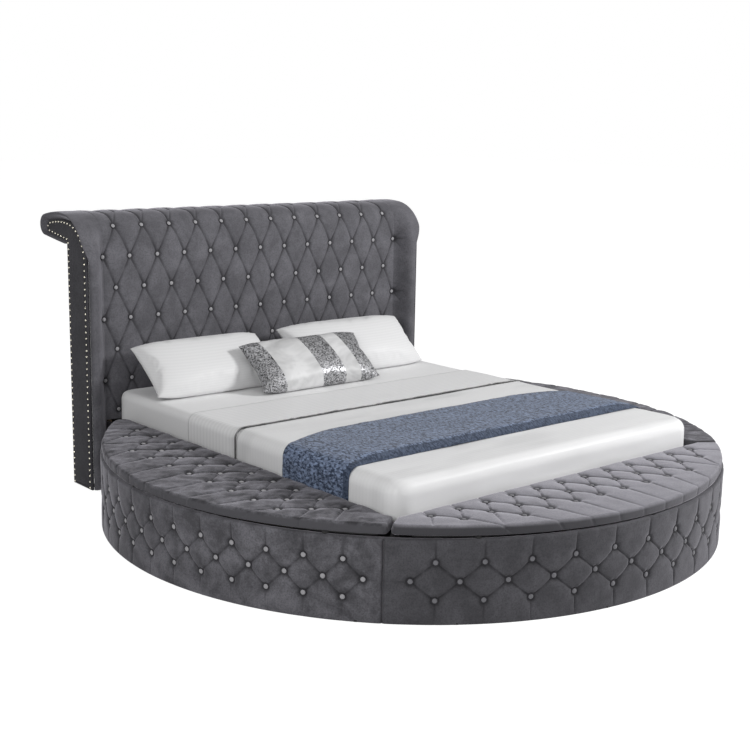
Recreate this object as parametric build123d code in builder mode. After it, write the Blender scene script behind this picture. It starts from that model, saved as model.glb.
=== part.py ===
"""Round upholstered storage bed.

Three hollow box segments (left, foot and right) make a round base about the mattress.
Each box has a padded, tufted lid that is hinged beside the mattress.
A tufted headboard with two wings and a rolled top closes the head end.

Millimetres. +Z is up, the foot is towards -Y and the head towards +Y.
The origin is on the floor, at the centre of the round base.
"""
from build123d import *
import math
import os

os.makedirs("parts", exist_ok=True)

# Mattress and the opening around it
mattress_width = 1829
mattress_length = 2134
mattress_thickness = 250
mattress_bottom = 245
mattress_centre_y = 129
mattress_corner_radius = 70
mattress_edge_radius = 40
side_gap = 25.5
foot_gap = 18
head_gap = 26

# Round base
base_corner_depth = 91.8
base_top = 334
glide_height = 8
glide_radius = 22
side_glide_angles = (-40, -14, 14, 42)
foot_glide_angles = (10, 35)
wall_glide_shares = (0.0412, 0.3599, 0.6785, 0.9972)
cover_thickness = 22
cover_edge_chamfer = 6
front_wall_thickness = 12
wall_panels = 8
wall_panel_gap = 0.3
board_thickness = 18
end_board_thickness = 15
divider_thickness = 12
divider_top_gap = 30
floor_panel_thickness = 9
floor_panel_lift = 10
mitre_gap = 1.2
side_divider_shares = (0.2849, 0.6129)

# Mattress support
slat_thickness = 18
slat_width = 78
slat_count = 14
slat_side_clearance = 6
slat_end_inset = 20
cleat_width = 28
cleat_height = 34
beam_width = 60
beam_height = 60
leg_side = 44
leg_pitch = 620
leg_foot_radius = 26

# Lids
lid_gap = 4
lid_board_thickness = 12
lid_height = 40
lid_rim_inset = 9
lid_pad_rim = 16
lid_edge_clearance = 9
lid_corner_clearance = 2
lid_edge_radius = 13
lid_crown = 7
lid_end_slope_share = 0.40
lid_tip_radius = 45
bumper_radius = 12
side_bumper_angles = (-35, 5, 42)
foot_bumper_angles = (-32, 0, 32)

# Hinges
hinge_leaf_thickness = 2.5
hinge_leaf_width = 78
hinge_leaf_drop = 44
hinge_barrel_radius = 4.5
hinge_pin_radius = 2.2
hinge_pin_clearance = 0.05
hinge_knuckle_gap = 0.3
hinge_axis_drop = 6
hinge_flap_length = 58
side_hinge_shares = (0.0834, 0.3458, 0.6082, 0.8707)
foot_hinge_shares = (-0.3827, -0.1274, 0.1274, 0.3827)

# Tufting buttons
button_radius = 12.5
button_rim = 4
button_dome = 2.5
button_crown_radius = 8.5
dimple_radius = 30
dimple_depth = 11
seat_clearance = 0.5
dimple_overrun = 3

# Headboard
wing_side_gap = 10
side_panel_thickness = 18
wing_width = 98
wing_edge_radius = 34
panel_base_gap = 6
panel_top_lift = 66
pad_thickness = 50
pad_edge_radius = 10
back_panel_thickness = 15
frame_depth = 58
frame_post_width = 70
frame_rail_height = 90
frame_rail_zs = (225, 685, 1150)
bracket_height = 80
bracket_reach = 56
bracket_thickness = 4
bracket_z = 140

# Height at which the straight fronts end and the rolls begin
scroll_start_z = 1146

# Side panel outline: straight front, then arcs that roll back
side_panel_forward = 62
side_rise_radius = 190
side_rise_turn = 82
side_top_radius = 560
side_top_turn = 21
side_tip_radius = 32
side_tip_turn = 158

# Padding outline: fuller than the side panel
wing_forward = 80
wing_rise_radius = 228
wing_rise_turn = 84
wing_top_radius = 600
wing_top_turn = 20
wing_tip_radius = 55
wing_tip_turn = 158
roll_front_radius = 120

# Headboard tufting
headboard_columns = 12
headboard_column_inset = 88
headboard_rows = 7
headboard_first_row_lift = 45
roll_row_turn = 32.6
headboard_corner_inset = 17

# Nailheads
nail_radius = 5.5
nail_rise = 3
nail_pitch = 30
nail_inset = 13

# Base and lid tufting
left_button_pitch = 156
left_first_button = 193
foot_button_pitch = 188
foot_first_button = 157
button_end_margin = 60
base_row_shares = (0.26, 0.49, 0.72)
lid_rows = 3
side_lid_row_inset = 72
foot_lid_row_inset = 54
lid_row_pitch = 104
side_lid_button_pitch = 156
side_lid_first_button = 29
foot_lid_button_pitch = 149
lid_button_margin = 62
lid_end_margin = 65

# Bolts
bolt_radius = 4
bolt_head_radius = 9
bolt_head_height = 5
bolt_clearance = 0.1
bolt_zs = (100, 270)

# Bedding
duvet_thickness = 9
duvet_from_head = 1068
bedding_bottom = 300
coverlet_thickness = 5
coverlet_reach = 392
throw_thickness = 5
throw_width = 520
throw_from_foot = 543
throw_bottom = 345
bedding_gap = 0.3
pillow_length = 850
pillow_width = 490
pillow_thickness = 130
pillow_tilt = 23
pillow_gap = 46
pillow_from_head = 228
cushion_length = 700
cushion_width = 350
cushion_thickness = 100
cushion_tilt = 40
cushion_x = 5
cushion_slides = 7
side_draw_share = 0.04
crown_shares = ((0, 1), (0.27, 0.975), (0.52, 0.92), (0.74, 0.82), (0.9, 0.68), (0.98, 0.5), (1, 0.3))

# Sizes that follow from the ones above
inner_half = mattress_width / 2 + side_gap
mattress_foot = mattress_centre_y - mattress_length / 2
mattress_head = mattress_centre_y + mattress_length / 2
mattress_top = mattress_bottom + mattress_thickness
foot_y = mattress_foot - foot_gap
panel_y = mattress_head + head_gap
frame_y = panel_y + pad_thickness
frame_back_y = frame_y + frame_depth
headboard_back_y = frame_back_y + back_panel_thickness
side_front_y = panel_y - side_panel_forward
wing_front_y = panel_y - wing_forward
box_half = inner_half + board_thickness
box_foot_y = foot_y - board_thickness
base_radius = math.hypot(box_half, box_foot_y) + base_corner_depth
overrun = 2 * base_radius
wall_radius = base_radius - cover_thickness
wall_inner_radius = wall_radius - front_wall_thickness
box_floor = glide_height + floor_panel_lift
box_floor_top = box_floor + floor_panel_thickness
lid_bottom = base_top + lid_gap
lid_top = lid_bottom + lid_height
lid_radius = base_radius - lid_rim_inset
wing_inner = box_half + wing_side_gap
wing_outer = wing_inner + wing_width
headboard_half_width = wing_outer + side_panel_thickness
panel_bottom = base_top + panel_base_gap
panel_top = scroll_start_z + panel_top_lift
side_divider_ys = [mattress_foot + share * mattress_length for share in side_divider_shares]
wall_glide_ys = [mattress_foot + share * mattress_length for share in wall_glide_shares]
side_hinge_ys = [mattress_foot + share * mattress_length for share in side_hinge_shares]
foot_hinge_xs = [share * mattress_width for share in foot_hinge_shares]
duvet_head_y = mattress_head - duvet_from_head
coverlet_head_y = duvet_head_y + coverlet_reach
throw_centre_y = mattress_foot + throw_from_foot
pillow_x = (pillow_length + pillow_gap) / 2
pillow_y = mattress_head - pillow_from_head
button_seat_radius = button_radius + seat_clearance
mitre_shift = mitre_gap * math.sqrt(2) / 2
end_board_run = end_board_thickness * math.sqrt(2)


def save(part, label):
    """Label a finished piece and write its file."""
    part.label = label
    export_step(part, f"parts/{label}.step")
    return part


def arc_y(radius, x):
    """Distance along Y at which a circle reaches x."""
    return math.sqrt(radius**2 - x**2)


def mirrored(piece):
    """The same piece for the other side of the bed."""
    with BuildPart() as other:
        mirror(piece, about=Plane.YZ)
    return other.part


def left_region(inner_x, corner_y, slope):
    """Plan outline of what lies on the left of the mattress."""
    return [
        (-inner_x, corner_y),
        (-inner_x - overrun, corner_y - slope * overrun),
        (-inner_x - overrun, overrun),
        (-inner_x, overrun),
    ]


def foot_region(half, edge_y, slope):
    """Plan outline of what lies beyond the foot of the mattress."""
    return [
        (-half, edge_y),
        (half, edge_y),
        (half + slope * overrun, edge_y - overrun),
        (-half - slope * overrun, edge_y - overrun),
    ]


def round_plate(region, outer, inner, bottom, top):
    """Flat piece with a round side, kept inside a plan outline."""
    with BuildPart() as plate:
        with BuildSketch(Plane.XY.offset(bottom)):
            Circle(outer)
            if inner:
                Circle(inner, mode=Mode.SUBTRACT)
            with BuildLine():
                Polyline(*region, close=True)
            make_face(mode=Mode.INTERSECT)
        extrude(amount=top - bottom)
    return plate.part


def board(x_from, x_to, y_from, y_to, bottom, top):
    """Plain straight board between limits."""
    centre = ((x_from + x_to) / 2, (y_from + y_to) / 2, (bottom + top) / 2)
    with BuildPart() as piece:
        with Locations(centre):
            Box(x_to - x_from, y_to - y_from, top - bottom)
    return piece.part


# Shape of one button, standing on its seat
with BuildPart() as button:
    Cylinder(button_radius, button_rim, align=(Align.CENTER, Align.CENTER, Align.MIN))
    with Locations((0, 0, button_rim)):
        Cone(
            button_radius,
            button_crown_radius,
            button_dome,
            align=(Align.CENTER, Align.CENTER, Align.MIN),
        )


def buttons_at(planes):
    """Group of identical buttons, each on its own seat plane."""
    with BuildPart() as group:
        with Locations(*planes):
            add(button.part)
    return group.part


def cut_dimples(planes):
    """Sewn tufts: a cone sunk into the padding round each button's seat."""
    slope = (dimple_radius - button_seat_radius) / dimple_depth
    with Locations(*planes):
        Cone(
            button_seat_radius,
            dimple_radius + slope * dimple_overrun,
            dimple_depth + dimple_overrun,
            align=(Align.CENTER, Align.CENTER, Align.MIN),
            mode=Mode.SUBTRACT,
        )


# Round base: where its three segments meet
cover_head_y = arc_y(base_radius, box_half)
joint_angle = math.atan2(foot_y, -inner_half)
head_angle = math.atan2(cover_head_y, -box_half) - 2 * math.pi
left_run = (joint_angle - head_angle) * base_radius
foot_run = 2 * (-math.pi / 2 - joint_angle) * base_radius
left_cover_region = left_region(box_half, box_foot_y + mitre_shift, 1)
foot_cover_region = foot_region(box_half - mitre_shift, box_foot_y, 1)
left_floor_region = left_region(box_half, box_foot_y + mitre_shift + end_board_run, 1)
foot_floor_region = foot_region(box_half - mitre_shift - end_board_run, box_foot_y, 1)


def base_button_planes(sense, run, pitch, first):
    """Three rows of seats on the cover, counted from the left mitre joint."""
    planes = []
    firsts = (first, first - pitch / 2, first)
    for share, start in zip(base_row_shares, firsts):
        height = glide_height + share * (base_top - glide_height)
        count = int((run - button_end_margin - start) / pitch) + 1
        for i in range(count):
            angle = joint_angle + sense * (start + i * pitch) / base_radius
            outward = Vector(math.cos(angle), math.sin(angle), 0)
            seat = outward * (base_radius - dimple_depth) + Vector(0, 0, height)
            planes.append(Plane(origin=seat, x_dir=(0, 0, 1), z_dir=outward))
    return planes


def tufted_cover(region, planes):
    """Padded velvet cover on the outside of a box."""
    with BuildPart() as cover:
        with BuildSketch(Plane.XY.offset(glide_height)):
            Circle(base_radius)
            Circle(wall_radius, mode=Mode.SUBTRACT)
        extrude(amount=base_top - glide_height)
        rims = cover.edges().filter_by(GeomType.CIRCLE).group_by(SortBy.RADIUS)[-1]
        chamfer(rims, cover_edge_chamfer)
        with BuildSketch(Plane.XY.offset(glide_height)):
            with BuildLine():
                Polyline(*region, close=True)
            make_face()
        extrude(amount=base_top - glide_height, mode=Mode.INTERSECT)
        cut_dimples(planes)
    return cover.part


left_planes = base_button_planes(-1, left_run, left_button_pitch, left_first_button)
foot_planes = base_button_planes(1, foot_run, foot_button_pitch, foot_first_button)
left_cover = save(tufted_cover(left_cover_region, left_planes), "left_cover")
right_cover = save(mirrored(left_cover), "right_cover")
foot_cover = save(tufted_cover(foot_cover_region, foot_planes), "foot_cover")

left_buttons = buttons_at(left_planes)
with BuildPart() as base_buttons:
    add(left_buttons)
    add(mirrored(left_buttons))
    add(buttons_at(foot_planes))
save(base_buttons.part, "base_buttons")


def curved_wall(region, start, end):
    """Curved plywood wall behind a cover, made up of upright panels set edge to edge."""
    joints = []
    for i in range(1, wall_panels):
        angle = start + (end - start) * i / wall_panels
        outward = Vector(math.cos(angle), math.sin(angle), 0)
        middle = outward * (wall_radius - front_wall_thickness / 2) + Vector(0, 0, (glide_height + base_top) / 2)
        joints.append(Plane(origin=middle, x_dir=outward, z_dir=(0, 0, 1)))
    with BuildPart() as wall:
        add(round_plate(region, wall_radius, wall_inner_radius, glide_height, base_top))
        with Locations(*joints):
            Box(2 * front_wall_thickness, wall_panel_gap, 2 * base_top, mode=Mode.SUBTRACT)
    return wall.part


left_front_wall = curved_wall(left_cover_region, joint_angle, head_angle)
save(left_front_wall, "left_front_wall")
save(mirrored(left_front_wall), "right_front_wall")
save(curved_wall(foot_cover_region, joint_angle, -math.pi - joint_angle), "foot_front_wall")

# Straight walls beside the mattress, mitred at the foot corners
with BuildPart() as left_inner_wall:
    with BuildSketch(Plane.XY.offset(glide_height)):
        with BuildLine():
            Polyline(
                (-inner_half, foot_y + mitre_shift),
                (-box_half, box_foot_y + mitre_shift),
                (-box_half, frame_y),
                (-inner_half, frame_y),
                close=True,
            )
        make_face()
    extrude(amount=base_top - glide_height)
save(left_inner_wall.part, "left_inner_wall")
save(mirrored(left_inner_wall.part), "right_inner_wall")

with BuildPart() as foot_inner_wall:
    with BuildSketch(Plane.XY.offset(glide_height)):
        with BuildLine():
            Polyline(
                (-inner_half + mitre_shift, foot_y),
                (inner_half - mitre_shift, foot_y),
                (box_half - mitre_shift, box_foot_y),
                (-box_half + mitre_shift, box_foot_y),
                close=True,
            )
        make_face()
    extrude(amount=base_top - glide_height)
save(foot_inner_wall.part, "foot_inner_wall")

# Floors of the storage boxes
left_floor_panel = round_plate(left_floor_region, wall_inner_radius, 0, box_floor, box_floor_top)
save(left_floor_panel, "left_floor_panel")
save(mirrored(left_floor_panel), "right_floor_panel")
foot_floor_panel = round_plate(foot_floor_region, wall_inner_radius, 0, box_floor, box_floor_top)
save(foot_floor_panel, "foot_floor_panel")

# Bolts through the mitre joints
diagonal = 1 / math.sqrt(2)
box_corner_run = (wall_inner_radius - math.hypot(box_half, box_foot_y)) / 2
bolt_x = -box_half - box_corner_run * diagonal
bolt_y = box_foot_y - box_corner_run * diagonal
joint_half = mitre_gap / 2 + end_board_thickness
left_bolt_planes = []
for bolt_z in bolt_zs:
    left_bolt_planes.append(
        Plane(origin=(bolt_x, bolt_y, bolt_z), x_dir=(0, 0, 1), z_dir=(1, -1, 0))
    )

with BuildPart() as left_bolts:
    with Locations(*left_bolt_planes):
        Cylinder(bolt_radius, 2 * joint_half)
    for side in (-1, 1):
        head_centre = side * (joint_half + bolt_head_height / 2)
        with Locations(*[plane.offset(head_centre) for plane in left_bolt_planes]):
            Cylinder(bolt_head_radius, bolt_head_height)
with BuildPart() as joint_bolts:
    add(left_bolts.part)
    add(mirrored(left_bolts.part))
save(joint_bolts.part, "joint_bolts")


def end_board(outline):
    """Board along a mitre joint, bored for the joint's bolts."""
    with BuildPart() as piece:
        with BuildSketch(Plane.XY.offset(glide_height)):
            Circle(wall_inner_radius)
            with BuildLine():
                Polyline(*outline, close=True)
            make_face(mode=Mode.INTERSECT)
        extrude(amount=base_top - glide_height)
        with Locations(*left_bolt_planes):
            Cylinder(bolt_radius + bolt_clearance, 2 * joint_half + overrun, mode=Mode.SUBTRACT)
    return piece.part


side_end_outline = [
    (-box_half, box_foot_y + mitre_shift),
    (-box_half - overrun, box_foot_y + mitre_shift - overrun),
    (-box_half - overrun, box_foot_y + mitre_shift - overrun + end_board_run),
    (-box_half, box_foot_y + mitre_shift + end_board_run),
]
foot_end_outline = [
    (-box_half + mitre_shift, box_foot_y),
    (-box_half + mitre_shift - overrun, box_foot_y - overrun),
    (-box_half + mitre_shift - overrun + end_board_run, box_foot_y - overrun),
    (-box_half + mitre_shift + end_board_run, box_foot_y),
]
left_end_board = save(end_board(side_end_outline), "left_end_board")
save(mirrored(left_end_board), "right_end_board")
foot_left_end_board = save(end_board(foot_end_outline), "foot_left_end_board")
save(mirrored(foot_left_end_board), "foot_right_end_board")

# Dividers that stiffen the boxes and part the storage
divider_top = base_top - divider_top_gap
with BuildPart() as left_dividers:
    for divider_y in side_divider_ys:
        with BuildSketch(Plane.XY.offset(box_floor_top)):
            Circle(wall_inner_radius)
            with Locations((-box_half - base_radius / 2, divider_y)):
                Rectangle(base_radius, divider_thickness, mode=Mode.INTERSECT)
        extrude(amount=divider_top - box_floor_top)
save(left_dividers.part, "left_dividers")
save(mirrored(left_dividers.part), "right_dividers")
with BuildPart() as foot_divider:
    with BuildSketch(Plane.XY.offset(box_floor_top)):
        Circle(wall_inner_radius)
        with Locations((0, box_foot_y - base_radius / 2)):
            Rectangle(divider_thickness, base_radius, mode=Mode.INTERSECT)
    extrude(amount=divider_top - box_floor_top)
save(foot_divider.part, "foot_divider")

# Slatted support for the mattress
slat_bottom = mattress_bottom - slat_thickness
slat_half = inner_half - slat_side_clearance
first_slat_y = foot_y + slat_end_inset + slat_width / 2
last_slat_y = mattress_head - slat_end_inset - slat_width / 2
slat_pitch = (last_slat_y - first_slat_y) / (slat_count - 1)
with BuildPart() as slats:
    for i in range(slat_count):
        with Locations((0, first_slat_y + i * slat_pitch, slat_bottom + slat_thickness / 2)):
            Box(2 * slat_half, slat_width, slat_thickness)
save(slats.part, "slats")

with BuildPart() as side_cleats:
    for side in (-1, 1):
        with Locations(
            (
                side * (inner_half - cleat_width / 2),
                (foot_y + panel_y) / 2,
                slat_bottom - cleat_height / 2,
            )
        ):
            Box(cleat_width, panel_y - foot_y - 2 * slat_end_inset, cleat_height)
save(side_cleats.part, "side_cleats")

beam_bottom = slat_bottom - beam_height
centre_beam = board(-beam_width / 2, beam_width / 2, foot_y, frame_y, beam_bottom, slat_bottom)
save(centre_beam, "centre_beam")

with BuildPart() as centre_legs:
    for i in (-1, 0, 1):
        with Locations((0, i * leg_pitch, 0)):
            Cylinder(leg_foot_radius, glide_height, align=(Align.CENTER, Align.CENTER, Align.MIN))
        with Locations((0, i * leg_pitch, (glide_height + beam_bottom) / 2)):
            Box(leg_side, leg_side, beam_bottom - glide_height)
save(centre_legs.part, "centre_legs")


# Lids: a board inside a padded velvet cover
side_lid_x = inner_half + lid_edge_clearance
foot_lid_y = foot_y - lid_edge_clearance
side_lid_end_y = foot_y - lid_corner_clearance
foot_lid_half = inner_half - lid_corner_clearance
side_lid_region = left_region(side_lid_x, side_lid_end_y, lid_end_slope_share)
foot_lid_region = foot_region(foot_lid_half, foot_lid_y, lid_end_slope_share)
board_end_run = lid_pad_rim * math.hypot(1, lid_end_slope_share)
side_board_region = left_region(
    side_lid_x + lid_pad_rim,
    side_lid_end_y + board_end_run,
    lid_end_slope_share,
)
foot_board_region = foot_region(foot_lid_half - board_end_run, foot_lid_y - lid_pad_rim, lid_end_slope_share)


def lid_outline_plate(region, radius, tip_radius, bottom, top):
    """Plate in the shape of a lid, its sharp corners rounded in plan."""
    with BuildPart() as plate:
        with BuildSketch(Plane.XY.offset(bottom)) as outline:
            Circle(radius)
            with BuildLine():
                Polyline(*region, close=True)
            make_face(mode=Mode.INTERSECT)
            head_corners = outline.vertices().group_by(Axis.Y)[-1]
            if tip_radius:
                fillet(head_corners, tip_radius)
        extrude(amount=top - bottom)
    return plate.part


side_lid_board = lid_outline_plate(
    side_board_region,
    lid_radius - lid_pad_rim,
    lid_tip_radius - lid_pad_rim,
    lid_bottom,
    lid_bottom + lid_board_thickness,
)
foot_lid_board = lid_outline_plate(
    foot_board_region,
    lid_radius - lid_pad_rim,
    0,
    lid_bottom,
    lid_bottom + lid_board_thickness,
)
save(side_lid_board, "left_lid_board")
save(mirrored(side_lid_board), "right_lid_board")
save(foot_lid_board, "foot_lid_board")


def crown_radius(width):
    """Radius of the shallow arc that rises by the crown over a lid's width."""
    return width**2 / (8 * lid_crown) + lid_crown / 2


def crown_drop(width, across):
    """How far the crowned top has fallen at a distance from its middle line."""
    radius = crown_radius(width)
    return radius - math.sqrt(radius**2 - across**2)


def lid_seats(pitch, first, width, row_inset, place, along_from, along_to):
    """Three staggered rows of seats beside a lid's straight edge."""
    planes = []
    for row in range(lid_rows):
        from_edge = row_inset + row * lid_row_pitch
        height = lid_top + lid_crown - dimple_depth - crown_drop(width, from_edge - width / 2)
        steps = int(base_radius / pitch)
        for i in range(-steps, steps + 1):
            along = first + (i + row % 2 / 2) * pitch
            x, y = place(from_edge, along)
            inside = along_from < along < along_to and math.hypot(x, y) < lid_radius - lid_button_margin
            if inside:
                planes.append(Plane(origin=(x, y, height), x_dir=(1, 0, 0), z_dir=(0, 0, 1)))
    return planes


def side_place(from_edge, along):
    """Plan position of a seat on the left lid."""
    return -side_lid_x - from_edge, along


def foot_place(from_edge, along):
    """Plan position of a seat on the foot lid."""
    return along, foot_lid_y - from_edge


side_lid_width = lid_radius - side_lid_x
foot_lid_width = lid_radius + foot_lid_y
side_lid_seats = lid_seats(
    side_lid_button_pitch,
    side_lid_first_button,
    side_lid_width,
    side_lid_row_inset,
    side_place,
    foot_y + lid_end_margin,
    lid_radius,
)
foot_lid_seats = lid_seats(
    foot_lid_button_pitch,
    foot_lid_button_pitch / 2,
    foot_lid_width,
    foot_lid_row_inset,
    foot_place,
    lid_end_margin - inner_half,
    inner_half - lid_end_margin,
)


def lid_pad(region, tip_radius, lid_board, width, middle, along, seats):
    """Lid padding: crowned top, rounded rim and sewn tufts, wrapped round its board."""
    radius = crown_radius(width)
    axis_point = Vector(*middle, lid_top + lid_crown - radius)
    with BuildPart() as pad:
        add(lid_outline_plate(region, lid_radius, tip_radius, lid_bottom, lid_top + lid_crown))
        with Locations(Plane(origin=axis_point, x_dir=(0, 0, 1), z_dir=along)):
            Cylinder(radius, overrun, mode=Mode.INTERSECT)
        crown_face = pad.faces().sort_by(SortBy.AREA).filter_by(GeomType.CYLINDER).sort_by(Axis.Z)[-1]
        fillet(crown_face.edges(), lid_edge_radius)
        add(lid_board, mode=Mode.SUBTRACT)
        cut_dimples(seats)
    return pad.part


side_middle = (-side_lid_x - side_lid_width / 2, 0)
foot_middle = (0, foot_lid_y - foot_lid_width / 2)
left_lid_pad = lid_pad(
    side_lid_region, lid_tip_radius, side_lid_board, side_lid_width, side_middle, (0, 1, 0), side_lid_seats
)
foot_lid_pad = lid_pad(
    foot_lid_region, 0, foot_lid_board, foot_lid_width, foot_middle, (1, 0, 0), foot_lid_seats
)
save(left_lid_pad, "left_lid_pad")
save(mirrored(left_lid_pad), "right_lid_pad")
save(foot_lid_pad, "foot_lid_pad")

left_lid_buttons = save(buttons_at(side_lid_seats), "left_lid_buttons")
save(mirrored(left_lid_buttons), "right_lid_buttons")
save(buttons_at(foot_lid_seats), "foot_lid_buttons")

# Hinge shape, drawn on the wall's inner face: X is outward, Y along the axis, Z up
hinge_z = lid_top - hinge_axis_drop
hinge_axis_out = hinge_barrel_radius - hinge_leaf_thickness
knuckle_length = (hinge_leaf_width - 2 * hinge_knuckle_gap) / 3
knuckle_shift = knuckle_length + hinge_knuckle_gap
leaf_shoulder_z = hinge_z - hinge_barrel_radius - hinge_knuckle_gap
moving_leaf_out = lid_edge_clearance - hinge_leaf_thickness


def knuckle(along):
    """One barrel of the hinge, round its pin's axis."""
    with Locations(Plane(origin=(hinge_axis_out, along, hinge_z), z_dir=(0, 1, 0))):
        Cylinder(hinge_barrel_radius, knuckle_length)


def bore_pin_hole():
    """Running hole for the pin through a leaf's barrels."""
    with Locations(Plane(origin=(hinge_axis_out, 0, hinge_z), z_dir=(0, 1, 0))):
        Cylinder(hinge_pin_radius + hinge_pin_clearance, overrun, mode=Mode.SUBTRACT)


with BuildPart() as fixed_leaf:
    add(
        board(
            -hinge_leaf_thickness,
            0,
            -hinge_leaf_width / 2,
            hinge_leaf_width / 2,
            base_top - hinge_leaf_drop,
            leaf_shoulder_z,
        )
    )
    for side in (-1, 1):
        knuckle(side * knuckle_shift)
        with Locations((-hinge_leaf_thickness / 2, side * knuckle_shift, (leaf_shoulder_z + hinge_z) / 2)):
            Box(hinge_leaf_thickness, knuckle_length, hinge_z - leaf_shoulder_z)
    bore_pin_hole()

with BuildPart() as moving_leaf:
    add(
        board(
            moving_leaf_out,
            lid_edge_clearance,
            -hinge_leaf_width / 2,
            hinge_leaf_width / 2,
            lid_bottom - hinge_leaf_thickness,
            leaf_shoulder_z,
        )
    )
    add(
        board(
            moving_leaf_out,
            lid_edge_clearance + hinge_flap_length,
            -hinge_leaf_width / 2,
            hinge_leaf_width / 2,
            lid_bottom - hinge_leaf_thickness,
            lid_bottom,
        )
    )
    add(
        board(
            moving_leaf_out,
            lid_edge_clearance,
            -knuckle_length / 2,
            knuckle_length / 2,
            leaf_shoulder_z,
            hinge_z,
        )
    )
    add(
        board(
            hinge_axis_out,
            lid_edge_clearance,
            -knuckle_length / 2,
            knuckle_length / 2,
            hinge_z - hinge_leaf_thickness,
            hinge_z,
        )
    )
    knuckle(0)
    bore_pin_hole()

with BuildPart() as hinge_pin:
    with Locations(Plane(origin=(hinge_axis_out, 0, hinge_z), z_dir=(0, 1, 0))):
        Cylinder(hinge_pin_radius, hinge_leaf_width)

left_hinge_planes = []
for hinge_y in side_hinge_ys:
    left_hinge_planes.append(Plane(origin=(-inner_half, hinge_y, 0), x_dir=(-1, 0, 0), z_dir=(0, 0, 1)))
foot_hinge_planes = []
for hinge_x in foot_hinge_xs:
    foot_hinge_planes.append(Plane(origin=(hinge_x, foot_y, 0), x_dir=(0, -1, 0), z_dir=(0, 0, 1)))


def group_at(piece, planes):
    """Group of identical pieces, one on each plane."""
    with BuildPart() as group:
        with Locations(*planes):
            add(piece)
    return group.part


left_lid_hinge_leaves = save(group_at(moving_leaf.part, left_hinge_planes), "left_lid_hinge_leaves")
save(mirrored(left_lid_hinge_leaves), "right_lid_hinge_leaves")
save(group_at(moving_leaf.part, foot_hinge_planes), "foot_lid_hinge_leaves")

for hinge_piece, hinge_name in ((fixed_leaf.part, "hinge_fixed_leaves"), (hinge_pin.part, "hinge_pins")):
    left_pieces = group_at(hinge_piece, left_hinge_planes)
    with BuildPart() as all_pieces:
        add(left_pieces)
        add(mirrored(left_pieces))
        add(group_at(hinge_piece, foot_hinge_planes))
    save(all_pieces.part, hinge_name)

# Felt bumpers that the lids come down on
bumper_height = lid_gap - bedding_gap
left_bumper_spots = []
foot_bumper_spots = []
for angle in side_bumper_angles:
    turn = math.radians(angle)
    left_bumper_spots.append((-wall_radius * math.cos(turn), wall_radius * math.sin(turn), base_top))
for angle in foot_bumper_angles:
    turn = math.radians(angle)
    foot_bumper_spots.append((wall_radius * math.sin(turn), -wall_radius * math.cos(turn), base_top))
with BuildPart() as left_bumpers:
    with Locations(*left_bumper_spots):
        Cylinder(bumper_radius, bumper_height, align=(Align.CENTER, Align.CENTER, Align.MIN))
with BuildPart() as lid_bumpers:
    add(left_bumpers.part)
    add(mirrored(left_bumpers.part))
    with Locations(*foot_bumper_spots):
        Cylinder(bumper_radius, bumper_height, align=(Align.CENTER, Align.CENTER, Align.MIN))
save(lid_bumpers.part, "lid_bumpers")


# Headboard outlines, drawn in the YZ plane
side_radii = (side_rise_radius, side_top_radius, side_tip_radius)
side_turns = (side_rise_turn, side_top_turn, side_tip_turn)
wing_radii = (wing_rise_radius, wing_top_radius, wing_tip_radius)
wing_turns = (wing_rise_turn, wing_top_turn, wing_tip_turn)


def scroll_lines(front_y, start_z, radii, turns, back_y, bottom, inset):
    """Open outline: up the front, three arcs that roll back, and down the back."""
    front = Line((front_y + inset, bottom), (front_y + inset, start_z))
    last = front
    for radius, turn in zip(radii, turns):
        last = JernArc(last @ 1, last % 1, radius - inset, -turn)
    tip = last @ 1
    way = last % 1
    corner = tip + way * ((tip.X - back_y + inset) / -way.X)
    Line(tip, corner)
    back = Line(corner, (back_y - inset, bottom))
    return back @ 1, front @ 0


def scroll_board(x_from, x_to, front_y, start_z, radii, turns, bottom):
    """Upright piece with the scrolled outline, between two planes across the bed."""
    with BuildPart() as piece:
        with BuildSketch(Plane.YZ.offset(x_from)):
            with BuildLine():
                foot_line = scroll_lines(front_y, start_z, radii, turns, headboard_back_y, bottom, 0)
                Line(*foot_line)
            make_face()
        extrude(amount=x_to - x_from)
    return piece.part


left_side_panel = scroll_board(
    -headboard_half_width, -wing_outer, side_front_y, scroll_start_z, side_radii, side_turns, glide_height
)
save(left_side_panel, "left_side_panel")
save(mirrored(left_side_panel), "right_side_panel")

with BuildPart() as left_wing:
    add(scroll_board(-wing_outer, -wing_inner, wing_front_y, scroll_start_z, wing_radii, wing_turns, glide_height))
    front_edges = left_wing.edges().filter_by(Axis.Z).group_by(Axis.Y)[0]
    fillet(front_edges, wing_edge_radius)
save(left_wing.part, "left_wing")
save(mirrored(left_wing.part), "right_wing")

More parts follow.
